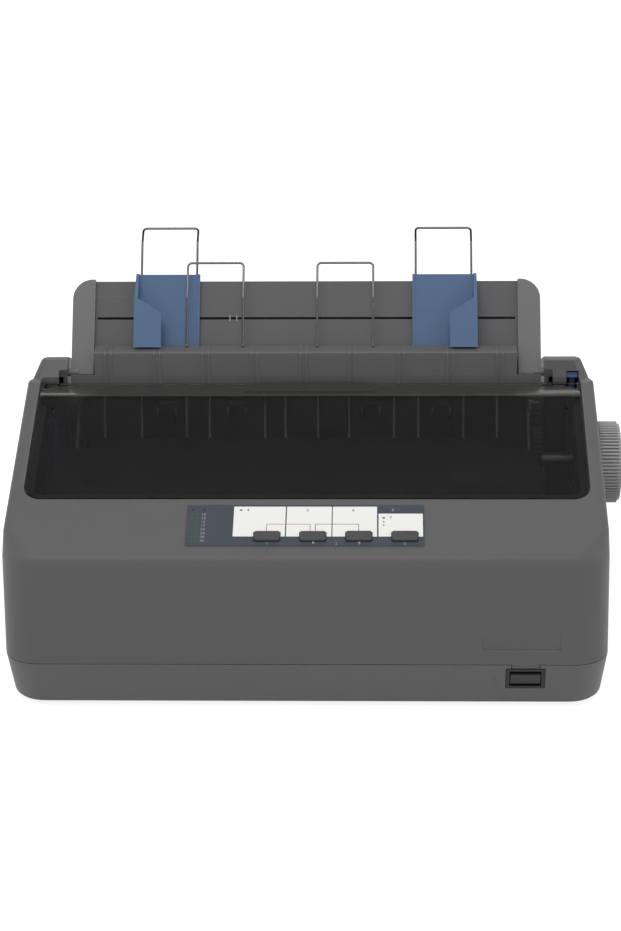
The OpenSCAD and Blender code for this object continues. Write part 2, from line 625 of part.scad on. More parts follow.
// An edge guide with its outer wall at x = 0 and its plate towards +x
module edge_guide() {
  n0 = -guide_step + edge_lift;
  difference() {
    union() {
      translate([0, edge_u, n0]) cube([edge_w, edge_len, edge_t]);
      // outer wall, which runs out towards its top
      across(0, edge_t) polygon([[edge_u, n0], [edge_u, flap_n], [slot_u + 9.5, flap_n],
                                 [edge_u + edge_len, n0 + edge_t + 2], [edge_u + edge_len, n0]]);
      translate([edge_w - 1.2, edge_u, n0]) cube([1.2, edge_len, edge_t + 0.8]);
      translate([0, 0, flap_n - edge_t]) linear_extrude(edge_t)
        polygon([[0, edge_u], [flap_w, edge_u], [flap_w, slot_u - 1], [flap_w - 3, slot_u + 2], [edge_t, slot_u + 9.5],
                 [0, slot_u + 9.5]]);
      // tongue through the slot, and the clip behind it
      translate([edge_w / 2 - 12, slot_u - slot_h / 2 + loose, -guide_step - guide_t - 2]) cube([24, slot_h - 2 * loose, n0 + guide_step + guide_t + 2.5]);
      translate([edge_w / 2 - 12, slot_u - 5, -guide_step - guide_t - 2 - loose]) cube([24, 10, 2]);
      // shelf over the guide's top edge that holds the wire
      translate([1, guide_len - 2, -guide_step - guide_t - 0.6]) cube([edge_w - 2, edge_u + edge_len - guide_len + 2, guide_t + edge_lift + 0.8]);
    }
    for (x = [0, wire_w]) translate([edge_wire_x + x, guide_len - 3, wire_n])
      rotate([-90, 0, 0]) cylinder(r = wire_d / 2 + fit, h = 20);
  }
}
edge_wire_x = (edge_w - wire_w) / 2 + 0.4;
wire_n = -guide_step - 0.7;
module edge_place(side) {
  difference() {
    guide_space() translate([side * (paper_w / 2 + edge_clear), 0, 0]) scale([-side, 1, 1]) children();
    // stays clear of the exit plate's top
    block(-half_w, 0, 0, half_w, exit_y + exit_top + 0.6, exit_h + 1.8);
  }
}
edge_blue = [0.33, 0.44, 0.58];
module edge_guide_left() color(edge_blue) place() edge_place(-1) edge_guide();
module edge_guide_right() color(edge_blue) place() edge_place(1) edge_guide();
// The wire leaves the shelf along the guide and then tips back
tip_back = guide_angle - 28;
tip_u = 83.5;
function edge_path(x) = [[x, guide_len - 1.4, wire_n], [x, tip_u, wire_n],
  [x, tip_u + 12 * cos(tip_back), wire_n - 12 * sin(tip_back)]];
module edge_wire() {
  a = edge_path(edge_wire_x);
  b = edge_path(edge_wire_x + wire_w);
  wire([a[0], a[1], a[2], b[2], b[1], b[0]], wire_d);
}
module edge_wire_left() color([0.8, 0.8, 0.82]) place() edge_place(-1) edge_wire();
module edge_wire_right() color([0.8, 0.8, 0.82]) place() edge_place(1) edge_wire();

// ---- control panel ----
label_x = 0.1;
first_button = -21.7;
button_u = label_u + 7.2;
label_t = 0.4;
module button_hole(i, grow) deck_space() translate([first_button + i * button_pitch, button_u, -12])
  linear_extrude(24) round_rect(-button_w / 2 - grow, -button_len / 2 - grow, button_w / 2 + grow,
                                button_len / 2 + grow, 1.2 + grow);
module panel_label() color([0.28, 0.32, 0.37]) place() difference() {
  deck_space() translate([label_x, 0, 0]) linear_extrude(label_t)
    round_rect(-label_w / 2, label_u, label_w / 2, label_u + label_len, 1);
  for (i = [0:3]) button_hole(i, 0.35);
}
module panel_button(i) color([0.3, 0.3, 0.31]) place() deck_space()
  translate([first_button + i * button_pitch, button_u, 0]) {
    translate([0, 0, -wall - 3.6]) linear_extrude(label_t + button_h + wall + 3.6)
      round_rect(-button_w / 2, -button_len / 2, button_w / 2, button_len / 2, 1.2);
    // flange that keeps the cap in
    translate([0, 0, -wall - 3.6]) linear_extrude(2)
      round_rect(-button_w / 2 - 1.2, -button_len / 2 - 1.2, button_w / 2 + 1.2, button_len / 2 + 1.2, 1.2);
  }
module panel_button_1() panel_button(0);
module panel_button_2() panel_button(1);
module panel_button_3() panel_button(2);
module panel_button_4() panel_button(3);
board_drop = wall + 3.6 + button_travel + 0.3;
module panel_board() color([0.1, 0.35, 0.2]) place() deck_space() {
  translate([-66, label_u + 0.5, -board_drop - board_t]) cube([132, label_len - 1, board_t]);
  // stand-offs to the deck
  for (p = [[-62, 4.5], [-62, label_len - 4.5], [62, label_len - 4.5]])
    translate([p[0], label_u + p[1], -board_drop]) cylinder(d = 5, h = board_drop - wall - 0.05);
}

// ---- power switch ----
module switch_housing() color([0.08, 0.08, 0.09]) place() face_space(switch_x) difference() {
  translate([-switch_w / 2 + 0.3, 0, -switch_h - 2.9]) cube([switch_w - 0.6, 16, switch_h - 0.6]);
  translate([-switch_w / 2 + 2.4, -1, -switch_h - 1.2]) cube([switch_w - 4.8, 13, switch_h - 4]);
  translate([0, rocker_y, switch_mid_z]) bar([0, 0], rocker_pin + fit, -rocker_w / 2 - 1.6, rocker_w / 2 + 1.6);
}
switch_mid_z = -switch_h / 2 - 3.2;
rocker_w = switch_w - 5.6;
rocker_y = 6;
rocker_pin = 1;
module power_rocker() color([0.1, 0.1, 0.11]) place() face_space(switch_x) translate([0, rocker_y, switch_mid_z]) {
  across(-rocker_w / 2, rocker_w / 2)
    polygon([[-5.2, -4.4], [-6.8, 3.6], [-4, 4.4], [0, 2.6], [2.4, 1.6], [2.4, -1.6], [0, -2.6], [-3, -4.9]]);
  bar([0, 0], rocker_pin, -rocker_w / 2 - 1.2, rocker_w / 2 + 1.2);
}

// ---- levers ----
lever_x = 161.7;
lever_tip_z = exit_h - 14.9;
lever_pivot = [platen_y + 38, platen_z - 26];
lever_pin = 2;
module release_lever() color([0.3, 0.42, 0.58]) place() difference() {
  union() {
    across(lever_x - 1.6, lever_x + 1.6) polygon([
      lever_pivot + [-4, -1], lever_pivot + [4, -1], [exit_y + 8, lever_tip_z + 1], [exit_y + 2.4, lever_tip_z + 1.4],
      [exit_y + 2, lever_tip_z - 2.4]]);
    // nub that shows beside the rail
    across(lever_x - 3.3, lever_x + 3.3) polygon([[exit_y + 1.6, lever_tip_z + 1.6], [exit_y + 0.4, lever_tip_z - 1.6],
      [exit_y + 5, lever_tip_z - 2.6], [exit_y + 6.4, lever_tip_z + 1.6]]);
    bar(lever_pivot, 4.5, lever_x - 2.4, lever_x + 2.4);
  }
  bar(lever_pivot, lever_pin + fit, lever_x - 5, lever_x + 5);
}
gap_x = -157.2;
gap_pivot = [platen_y - 8, platen_z - 20];
module gap_lever() color([0.16, 0.24, 0.5]) place() difference() {
  union() {
    across(gap_x - 1.6, gap_x + 1.6) polygon([gap_pivot + [-4, 0], gap_pivot + [4, 0], gap_pivot + [4.4, 46], gap_pivot + [-1, 47]]);
    bar(gap_pivot, 6, gap_x - 2.4, gap_x + 2.4);
    across(gap_x - 2.6, gap_x + 2.6) polygon([gap_pivot + [-1.8, 36], gap_pivot + [5.2, 35], gap_pivot + [5.4, 48], gap_pivot + [-2, 49]]);
  }
  bar(gap_pivot, 3 + fit, gap_x - 5, gap_x + 5);
}

// ---- mechanism frame ----
plate_outline = [[54, frame_z], [case_d - 50, frame_z], [case_d - 50, tractor_z + 12], [tractor_y - 16, tractor_z + 12],
  [eject_c[0] + 14, eject_c[1] + 10], [eject_c[0] - 12, eject_c[1] + 10], [platen_y - 14, platen_z + 12],
  [platen_y - 18, platen_z + 6],
  [head_nose_y - 12, platen_z - 14], [54, platen_z - 16]];
module frame_plate(x) difference() {
  across(x, x + frame_t) polygon(plate_outline);
  bar(platen_c, shaft_r + fit, x - 1, x + 3);
  bar([rod_y, rod_z], rod_d / 2 + eps, x - 1, x + 3);
  bar(eject_c, eject_r + fit, x - 1, x + 3);
  bar(tractor_c, 3.5 + fit, x - 1, x + 3);
  bar(tractor_rod_c, 3 + eps, x - 1, x + 3);
  bar(pinch_c, 2.5 + fit, x - 1, x + 3);
}
eject_r = 2.5;
tractor_rod_c = tractor_c + [22, -6];
pinch_roll_r = 5;
pinch_c = polar(platen_c, platen_d / 2 + pinch_roll_r + 0.3, -80);
module mechanism_frame() color([0.62, 0.63, 0.65]) place() {
  frame_plate(plate_left - frame_t);
  frame_plate(plate_right);
  // floor of the frame, open in the middle
  difference() {
    block(plate_left - frame_t, 54, frame_z, plate_right + frame_t, case_d - 50, frame_z + frame_t);
    block(plate_left + 30, 96, frame_z - 1, plate_right - 30, case_d - 80, frame_z + 4);
    for (p = frame_posts) translate([p[0], p[1], frame_z - 1]) cylinder(r = screw_r + fit, h = 5);
  }
  // rail that steadies the carriage's front
  block(plate_left - 0.2, 56, frame_z + frame_t, plate_right + 0.2, 57.6, belt_z + 14);
  // bracket and studs for the feed motor and the idlers
  difference() {
    block(bracket_x, motor_c[0] - 24, frame_z, bracket_x + frame_t, motor_c[0] + 24, motor_c[1] + 14);
    bar(motor_c, 9, bracket_x - 1, bracket_x + 3);
    bar(platen_c, shaft_r + 1.5, bracket_x - 1, bracket_x + 3);
    bar(idler_a_c, 2.6, bracket_x - 1, bracket_x + 3);
  }
  block(plate_right + frame_t - 0.2, motor_c[0] - 24, frame_z, bracket_x + 0.2, motor_c[0] + 24, frame_z + frame_t);
  for (p = [idler_a_c, idler_b_c, eject_idler_c]) bar(p, 2, plate_right + frame_t - 0.2, gear_x + gear_w + 1);
  // pivots of the two levers
  bar(lever_pivot, lever_pin, plate_right + frame_t - 0.2, lever_x + 3);
  bar(gap_pivot, 3, gap_x - 3, plate_left - frame_t + 0.2);
  // post and pin of the belt's idler pulley
  translate([pulley_left, belt_y, frame_z + 0.2]) cylinder(d = 8, h = belt_z - 1.8 - frame_z - 0.2);
  translate([pulley_left, belt_y, frame_z + 0.2]) cylinder(d = 4, h = belt_z + belt_w + 2 - frame_z);
}
bracket_x = gear_x + gear_w + 1.4;

// ---- platen ----
module platen_roller() color([0.13, 0.13, 0.14]) place() difference() {
  bar(platen_c, platen_d / 2, mech_x - platen_len / 2, mech_x + platen_len / 2, 96);
  bar(platen_c, shaft_r, mech_x - platen_len, mech_x + platen_len);
}
module platen_shaft() color([0.7, 0.71, 0.73]) place() bar(platen_c, shaft_r, plate_left - frame_t - 4, knob_end - 6);
module platen_knob() color([0.42, 0.42, 0.43]) place() difference() {
  union() {
    bar(platen_c, knob_d / 2 - 1.6, knob_in, knob_end, 96);
    // grip ribs
    translate([knob_in + 1, platen_y, platen_z]) rotate([90, 0, 90]) linear_extrude(knob_end - knob_in - 2.5)
      polygon([for (i = [0:knob_ribs - 1], k = [0:3])
        let (a = (i + [-0.3, -0.22, 0.22, 0.3][k]) * 360 / knob_ribs, r = knob_d / 2 - [1.8, 0, 0, 1.8][k])
        [r * cos(a), r * sin(a)]]);
  }
  bar(platen_c, shaft_r, knob_in - 1, knob_end - 6);
  // dished outer face
  bar(platen_c, knob_d / 2 - 6, knob_end - 2, knob_end + 1, 96);
}
module platen_gear() color([0.85, 0.84, 0.8]) place()
  gear(platen_c, platen_teeth, 0, gear_x, gear_x + gear_w, shaft_r);

// ---- paper feed train ----
module feed_motor() color([0.2, 0.2, 0.21]) place() {
  bar(motor_c, motor_d / 2, bracket_x + frame_t, bracket_x + frame_t + motor_len);
  bar(motor_c, 8.8, bracket_x + 0.4, bracket_x + frame_t);
  bar(motor_c, 2, gear_x - 0.5, bracket_x + 1);
}
module feed_pinion() color([0.75, 0.68, 0.4]) place()
  gear(motor_c, pinion_teeth, pinion_phase, gear_x, gear_x + gear_w, 2 + fit);
module tractor_idler_a() color([0.85, 0.84, 0.8]) place()
  gear(idler_a_c, idler_teeth, idler_a_phase, gear_x, gear_x + gear_w, 2 + fit);
module tractor_idler_b() color([0.85, 0.84, 0.8]) place()
  gear(idler_b_c, idler_teeth, idler_b_phase, gear_x, gear_x + gear_w, 2 + fit);
module eject_idler() color([0.85, 0.84, 0.8]) place()
  gear(eject_idler_c, eject_idler_teeth, eject_idler_phase, gear_x, gear_x + gear_w, 2 + fit);
eject_mids = [for (s = [-1, 1], x = [41.5, 85]) mech_x + s * x];
eject_roll_r = 6.6;
module eject_shaft() color([0.7, 0.71, 0.73]) place() {
  bar(eject_c, eject_r, plate_left - frame_t - 2, gear_x);
  gear(eject_c, eject_teeth, eject_phase, gear_x, gear_x + gear_w, 0);
}
module eject_rollers() color([0.16, 0.16, 0.17]) place() for (x = eject_mids) difference() {
  bar(eject_c, eject_roll_r, x - 5, x + 5);
  bar(eject_c, eject_r, x - 6, x + 6);
}
// Ribbed plate that turns the paper up behind the platen
eject_face = [[platen_y + 11.6, platen_z + 7.5], [platen_y + 18, platen_z + 27], [exit_y - 1.2, platen_z + 37.5]];
eject_ribs = [-123.1, -100.2, -72.4, -58.2, -23.8, -11.2, 8.9, 28.1, 55.9, 70.8, 98.6, 119.3];
module eject_frame() color([0.1, 0.1, 0.11]) place() {
  difference() {
    across(plate_left, plate_right) polygon(concat(eject_face, [[exit_y - 1.2, platen_z + 35], [platen_y + 20, platen_z + 25.5],
      [platen_y + 13.6, platen_z + 6.5]]));
    for (x = eject_mids) block(x - 6, 0, 0, x + 6, 300, platen_z + 33);
  }
  for (x = eject_ribs) translate([mech_x + x, 0, 0]) across(-0.6, 0.6)
    polygon([eject_face[0] + [-0.2, -0.6], eject_face[0] + [-1.6, 1.8], eject_face[1] + [-2.4, 0.6],
             eject_face[2] + [-1.6, 0.4], eject_face[2] + [-0.1, -1.5], eject_face[1] + [0.5, -0.6]]);
}
// Chute that leads a sheet down behind the platen
module paper_chute() color([0.12, 0.12, 0.13]) place() difference() {
  across(plate_left, plate_right) polygon([[guide_y + 3, guide_z - 12], [guide_y + 5, guide_z - 12],
    [platen_y + 25.5, platen_z + 4], [platen_y + 17, platen_z - 12], [platen_y + 6, platen_z - 21.5], [platen_y + 5, platen_z - 19.6],
    [platen_y + 15.4, platen_z - 11], [platen_y + 23.6, platen_z + 4.4]]);
  bar(pinch_c, pinch_roll_r + 1, plate_left - 1, plate_right + 1);
}
module pinch_rollers() color([0.18, 0.18, 0.19]) place() {
  bar(pinch_c, 2.5, plate_left - frame_t - 1, plate_right + frame_t + 1);
  for (x = eject_mids) bar(pinch_c, pinch_roll_r, x - 7, x + 7);
}

// ---- carriage ----
module guide_shaft() color([0.78, 0.79, 0.8]) place() bar([rod_y, rod_z], rod_d / 2, plate_left - frame_t - 2, plate_right + frame_t + 2);
carriage_x = mech_x - carriage_park;
module carriage() color([0.14, 0.14, 0.15]) place() difference() {
  union() {
    bar([rod_y, rod_z], rod_d / 2 + 3.5, carriage_x - carriage_w / 2, carriage_x + carriage_w / 2);
    block(carriage_x - carriage_w / 2, rod_y - 5, rod_z, carriage_x + carriage_w / 2, head_nose_y - 7, head_z0);
    // fork that holds the belt's front run
    block(carriage_x - 6, belt_run - 2.2, belt_top + 2, carriage_x + 6, rod_y, belt_top + 5);
    for (s = [-1, 1]) translate([carriage_x - 6, belt_run + s * 1.4 - 0.6, belt_z + 1]) cube([12, 1.2, belt_top + 2.1 - belt_z - 1]);
    // foot on the front rail
    block(carriage_x - 12, 55, belt_z + 14.6, carriage_x + 12, rod_y - 2, belt_z + 17.6);
    block(carriage_x - 12, rod_y - 12, belt_top + 2, carriage_x + 12, rod_y, belt_z + 17);
  }
  bar([rod_y, rod_z], rod_d / 2 + fit, carriage_x - 50, carriage_x + 50);
}
head_z0 = platen_z - 16;
head_top = platen_z + 8.5;
module print_head() color([0.25, 0.25, 0.26]) place() {
  block(carriage_x - head_w / 2, rod_y - 2, head_z0, carriage_x + head_w / 2, head_nose_y - 9, head_top - 2);
  // cooling fins
  for (i = [0:6]) block(carriage_x - head_w / 2 - 1.4, rod_y + 1 + i * 3, head_z0 + 3,
                        carriage_x + head_w / 2 + 1.4, rod_y + 2.2 + i * 3, head_top);
  // nose that carries the pins
  across(carriage_x - 5, carriage_x + 5) polygon([[head_nose_y - 9.2, platen_z - 10], [head_nose_y, platen_z - 3.5],
    [head_nose_y, platen_z + 3.5], [head_nose_y - 9.2, platen_z + 6]]);
}
module carriage_motor() color([0.2, 0.2, 0.21]) place() translate([pulley_right, belt_y, 0]) {
  translate([0, 0, belt_z - 5 - 2]) cylinder(d = 28, h = 2);
  translate([0, 0, frame_z + frame_t]) cylinder(d = 26, h = belt_z - 7 - frame_z - frame_t);
  translate([0, 0, belt_z - 5]) cylinder(d = 3, h = belt_w + 8);
}
module pulley(x, bore) translate([x, belt_y, belt_z - 1.5]) difference() {
  union() {
    cylinder(d = pulley_d, h = belt_w + 3);
    cylinder(d = pulley_d + 3, h = 1.2);
    translate([0, 0, belt_w + 1.8]) cylinder(d = pulley_d + 3, h = 1.2);
  }
  translate([0, 0, -1]) cylinder(d = bore, h = belt_w + 8);
}
module drive_pulley() color([0.75, 0.68, 0.4]) place() pulley(pulley_right, 3 + 2 * fit);
module idler_pulley() color([0.8, 0.8, 0.78]) place() pulley(pulley_left, 4 + 2 * fit);
module carriage_belt() color([0.1, 0.1, 0.1]) place() translate([0, belt_y, belt_z + 0.25]) linear_extrude(belt_w - 0.5)
  difference() {
    round_rect(pulley_left - pulley_d / 2 - belt_t - 0.1, -pulley_d / 2 - belt_t - 0.1,
               pulley_right + pulley_d / 2 + belt_t + 0.1, pulley_d / 2 + belt_t + 0.1, pulley_d / 2 + belt_t);
    round_rect(pulley_left - pulley_d / 2 - 0.1, -pulley_d / 2 - 0.1,
               pulley_right + pulley_d / 2 + 0.1, pulley_d / 2 + 0.1, pulley_d / 2);
  }

// ---- ribbon ----
ribbon_x = mech_x - 3;
arm_in = platen_len / 2 - 7;
arm_z0 = platen_z - 7;
module ribbon_cartridge() color([0.11, 0.11, 0.12]) place() difference() {
  union() {
    // flat body
    across(ribbon_x - cartridge_w / 2, ribbon_x + cartridge_w / 2) polygon([[cover_y + 12.5, platen_z - 2],
      [rod_y - 4, platen_z - 2], [rod_y - 4, head_top + 1.2], [platen_y - 15.4, head_top + 3], [platen_y - 15, head_top + 5.6],
      [cover_y + 18, head_top + 3.6], [cover_y + 12.5, platen_z + 7]]);
    // arms that reach past the platen's ends
    for (s = [-1, 1]) block(mech_x + (s > 0 ? arm_in : -arm_out), rod_y - 5, arm_z0, mech_x + (s > 0 ? arm_out : -arm_in),
                            platen_y - platen_d / 2 - 0.8, head_top + 3);
  }
  // the ribbon runs in a slot in each arm
  block(mech_x - arm_out + 2, ribbon_y - 0.5, arm_z0 - 1, mech_x + arm_out - 2, ribbon_y + 0.6, arm_z0 + 13);
  translate([ribbon_knob_x, ribbon_knob_y, platen_z - 10]) cylinder(r = 3 + fit, h = 40);
  // clears the platen's gear
  block(gear_x - 1.5, platen_y - pitch_r(platen_teeth), platen_z, half_w, platen_y, head_top + 8);
}
arm_out = platen_len / 2 + frame_gap - 1;
ribbon_y = platen_y - platen_d / 2 - 0.75;
module ink_ribbon() color([0.05, 0.05, 0.06]) place()
  block(mech_x - arm_out + 3, ribbon_y, arm_z0 - 0.6, mech_x + arm_out - 3, ribbon_y + 0.15, arm_z0 + 12);
ribbon_knob_x = ribbon_x - cartridge_w / 2 + 24;
ribbon_knob_y = cover_y + 26;
module ribbon_knob() color([0.2, 0.3, 0.5]) place() translate([ribbon_knob_x, ribbon_knob_y, 0]) {
  translate([0, 0, platen_z - 1]) cylinder(r = 3, h = head_top + 6 - platen_z + 1);
  translate([0, 0, head_top + 4.8]) cylinder(r = 6, h = 2.4);
}

// ---- tractor ----
tractor_xs = [mech_x - tractor_span / 2 - tractor_w / 2 + 3, mech_x + tractor_span / 2 + tractor_w / 2 - 3];
module tractor_shaft() color([0.7, 0.71, 0.73]) place() {
  block(plate_left + 4, tractor_y - 3, tractor_z - 3, plate_right - 4, tractor_y + 3, tractor_z + 3);
  bar(tractor_c, 3.5, plate_left - frame_t - 2, plate_left + 4);
  bar(tractor_c, 3.5, plate_right - 4, gear_x);
  gear(tractor_c, tractor_teeth, tractor_phase, gear_x, gear_x + gear_w, 0);
}
module tractor_rod() color([0.7, 0.71, 0.73]) place() bar(tractor_rod_c, 3, plate_left - frame_t - 2, plate_right + frame_t + 2);
// A tractor's body: two cheeks and a deck round the sprocket
module tractor_body(x) difference() {
  across(x - tractor_w / 2, x + tractor_w / 2) polygon([[tractor_y - 15, tractor_z - 13], [tractor_y + 28, tractor_z - 13],
    [tractor_y + 32, tractor_z - 4], [tractor_y + 30, tractor_z + 9.6], [tractor_y - 15, tractor_z + 9.6], [tractor_y - 17, tractor_z]]);
  bar(tractor_c, sprocket_r + 2.2, x - 3.6, x + 3.6);
  block(x - 3.6, tractor_y - 20, tractor_z + 2, x + 3.6, tractor_y + 14, tractor_z + 20);
  bar(tractor_c, 5.6, x - tractor_w, x + tractor_w);
  bar(tractor_rod_c, 3 + fit, x - tractor_w, x + tractor_w);
}
// Lugs and pin that carry a tractor's flap
module flap_hinge(side) {
  x = tractor_xs[side > 0 ? 1 : 0] + side * (tractor_w / 2 - 1);
  h = flap_hinge_x(side);
  for (y = [flap_y0 - 3, flap_y1 + 0.4])
    block(min(x, h + side * flap_barrel), tractor_y + y, tractor_z + 6,
          max(x, h + side * flap_barrel), tractor_y + y + 2.6, flap_z + 1 + flap_barrel);
  translate([h, tractor_y + flap_y0 - 1, flap_z + 1]) rotate([-90, 0, 0])
    cylinder(r = flap_pin, h = flap_y1 - flap_y0 + 2);
}
flap_y0 = -14;
flap_y1 = 27;
flap_pin = 0.8;
flap_barrel = 1.7;
module tractor_left() color([0.15, 0.15, 0.16]) place() {
  tractor_body(tractor_xs[0]);
  flap_hinge(-1);
}
module tractor_right() color([0.15, 0.15, 0.16]) place() {
  tractor_body(tractor_xs[1]);
  flap_hinge(1);
}
module sprocket(x) difference() {
  union() {
    bar(tractor_c, sprocket_r - 1.6, x - 3, x + 3);
    bar(tractor_c, 5.4, x - tractor_w / 2 - 0.6, x + tractor_w / 2 + 0.6);
    for (i = [0:7]) translate([x, tractor_y, tractor_z]) rotate([i * 45 + 22.5, 0, 0])
      translate([0, 0, sprocket_r - 3]) cylinder(r1 = 1.9, r2 = 1, h = 3.6, $fn = 24);
  }
  block(x - tractor_w, tractor_y - 3.15, tractor_z - 3.15, x + tractor_w, tractor_y + 3.15, tractor_z + 3.15);
}
module sprocket_left() color([0.85, 0.84, 0.8]) place() sprocket(tractor_xs[0]);
module sprocket_right() color([0.85, 0.84, 0.8]) place() sprocket(tractor_xs[1]);
// A tractor's flap, hinged along its outer edge
flap_z = tractor_z + 9.9;
function flap_hinge_x(side) = tractor_xs[side > 0 ? 1 : 0] + side * (tractor_w / 2 + 2.4);
module tractor_flap(side) {
  x = tractor_xs[side > 0 ? 1 : 0];
  xa = x - side * (tractor_w / 2 - 1);
  xb = flap_hinge_x(side);
  difference() {
    union() {
      block(min(xa, xb), tractor_y + flap_y0, flap_z, max(xa, xb), tractor_y + flap_y1, flap_z + 2);
      translate([xb, tractor_y + flap_y0, flap_z + 1]) rotate([-90, 0, 0])
        cylinder(r = flap_barrel, h = flap_y1 - flap_y0);
    }
    translate([xb, tractor_y + flap_y0 - 1, flap_z + 1]) rotate([-90, 0, 0])
      cylinder(r = flap_pin + fit, h = flap_y1 - flap_y0 + 2);
    block(x - 3.4, tractor_y - 11, flap_z - 1, x + 3.4, tractor_y + 12, flap_z + 5);
  }
}
module tractor_flap_left() color([0.15, 0.15, 0.16]) place() tractor_flap(-1);
module tractor_flap_right() color([0.15, 0.15, 0.16]) place() tractor_flap(1);

// ---- electronics ----
module main_board() color([0.1, 0.35, 0.2]) place() {
  block(board_left, board_front, board_z, board_right, board_rear, board_z + board_t);
  for (x = [-90:30:60]) block(x, 70, board_z + board_t, x + 18, 92, board_z + 5);
  for (x = [-60, 0]) translate([x, board_rear - 25, board_z + board_t]) cylinder(d = 12, h = 16);
}
module power_board() color([0.55, 0.42, 0.2]) place() {
  block(-150, power_front, board_z, 20, power_rear, board_z + board_t);
  for (x = [-140, 14], y = [power_front + 2, power_rear - 6]) block(x - 2, y, foot_h + wall, x + 2, y + 4, board_z);
  block(-90, power_front + 4, board_z + board_t, -50, power_rear - 6, board_z + 22);
  for (x = [-30, -10]) translate([x, power_rear - 18, board_z + board_t]) cylinder(d = 14, h = 20);
}
module mains_inlet() color([0.07, 0.07, 0.08]) place() difference() {
  union() {
    block(inlet_x - 13.8, case_d - 20, rear_z - 10.3, inlet_x + 13.8, case_d - 1, rear_z + 10.3);
    block(inlet_x - 3, case_d - 30, board_z + board_t, inlet_x + 3, case_d - 20, rear_z - 4);
  }
  block(inlet_x - 11, case_d - 16, rear_z - 7, inlet_x + 11, case_d, rear_z + 7);
}
module data_sockets() color([0.6, 0.6, 0.62]) place() {
  // carrier board on edge
  block(-4, carrier_y, foot_h + wall, 130, carrier_y + board_t, rear_z + 12);
  for (s = sockets) difference() {
    block(s[0] - s[1] / 2, carrier_y + board_t, rear_z - s[2] / 2, s[0] + s[1] / 2, case_d - 1, rear_z + s[2] / 2);
    block(s[0] - s[1] / 2 + 1, case_d - 9, rear_z - s[2] / 2 + 1, s[0] + s[1] / 2 - 1, case_d, rear_z + s[2] / 2 - 1);
  }
}

lower_case();
upper_case();
rubber_feet();
printer_cover();
exit_plate();
stacker_wires();
paper_guide();
edge_guide_left();
edge_guide_right();
edge_wire_left();
edge_wire_right();
panel_label();
panel_board();
panel_button_1();
panel_button_2();
panel_button_3();
panel_button_4();
switch_housing();
power_rocker();
release_lever();
gap_lever();
mechanism_frame();
platen_roller();
platen_shaft();
platen_knob();
platen_gear();
feed_motor();
feed_pinion();
tractor_idler_a();
tractor_idler_b();
eject_idler();
eject_shaft();
eject_rollers();
eject_frame();
paper_chute();
pinch_rollers();
guide_shaft();
carriage();
print_head();
carriage_motor();
drive_pulley();
idler_pulley();
carriage_belt();
ribbon_cartridge();
ink_ribbon();
ribbon_knob();
tractor_shaft();
tractor_rod();
tractor_left();
tractor_right();
sprocket_left();
sprocket_right();
tractor_flap_left();
tractor_flap_right();
main_board();
power_board();
mains_inlet();
data_sockets();
case_screws();
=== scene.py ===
# %% [markdown]
# # A compact dot matrix printer
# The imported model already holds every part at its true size: the two halves of the case, the
# smoked cover, the paper guide and the whole print mechanism. This script dresses those parts.
# It rounds the moulded edges, bends the wires smoothly, prints the control panel and gives every
# surface a material that is made of noise and masks, with no picture files.

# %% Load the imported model
import bmesh
import bpy
import json
from math import cos, pi, radians, sin, tan
from mathutils import Matrix, Vector


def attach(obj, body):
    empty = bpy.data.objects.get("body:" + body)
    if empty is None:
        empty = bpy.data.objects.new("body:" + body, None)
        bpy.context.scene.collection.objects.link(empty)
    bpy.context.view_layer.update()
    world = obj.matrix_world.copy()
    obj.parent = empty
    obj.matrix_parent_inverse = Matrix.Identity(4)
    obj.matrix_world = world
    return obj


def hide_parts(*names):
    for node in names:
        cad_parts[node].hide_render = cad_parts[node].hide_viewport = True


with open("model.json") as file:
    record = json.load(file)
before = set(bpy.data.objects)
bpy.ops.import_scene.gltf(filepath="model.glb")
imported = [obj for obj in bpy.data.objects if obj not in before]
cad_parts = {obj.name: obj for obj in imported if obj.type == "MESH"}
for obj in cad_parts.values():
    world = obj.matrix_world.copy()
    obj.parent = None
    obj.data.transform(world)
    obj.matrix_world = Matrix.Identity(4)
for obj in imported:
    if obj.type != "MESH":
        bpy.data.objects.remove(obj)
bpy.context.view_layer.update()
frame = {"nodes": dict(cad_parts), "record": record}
nodes = frame["nodes"]
scene = bpy.context.scene

# %% [markdown]
# ## Measures
# The model's origin lies under the middle of its overall box, which reaches from the left side
# of the case to the end of the platen knob. A drawing of the machine counts from the middle and
# the front of the case instead, in millimetres. One helper turns such a place into the model's
# metres, so every number below can be checked against a ruler on the machine.

# %% Places in millimetres from the case's middle and front
MM = 0.001
CASE_MID_X = -6.75
CASE_FRONT_Y = -137.5
DECK_ANGLE = radians(18.8)
DECK_Y, DECK_Z = 3.0, 97.0        # where the deck leaves the top of the front face
GUIDE_ANGLE = radians(55)
GUIDE_MID_X = -3.0
GUIDE_Y, GUIDE_Z = 166.2, 148.1   # the paper guide's pivot
EDGE_X = 106.4                    # from the guide's middle to the outer wall of each edge guide
COLUMN_FROM = 131.8               # from the guide's middle to the inner side of each column
SLOT_U = 34.0                     # the guide's slot, up from its pivot
FILM_TOP = 0.4                    # thickness of the control panel's film
BEND_Y = 137.1                    # the cover's bend, where its slope turns level
STRIP_Z = 142.6                   # top of the cover's level strip
TOWER_Y = 158.8                   # front of the two towers
BUTTON_HALF_W = 7.4
BUTTON_REAR_U = 22.0              # the rear edge of the buttons, up the deck


def at(x, y, z):
    return Vector(((x + CASE_MID_X) * MM, (y + CASE_FRONT_Y) * MM, z * MM))


def deck_place(x, u, off=0.0):
    """A place u mm up the deck from the top of the front face, and off mm above it."""
    y = DECK_Y + u * cos(DECK_ANGLE) - off * sin(DECK_ANGLE)
    z = DECK_Z + u * sin(DECK_ANGLE) + off * cos(DECK_ANGLE)
    return at(x, y, z)


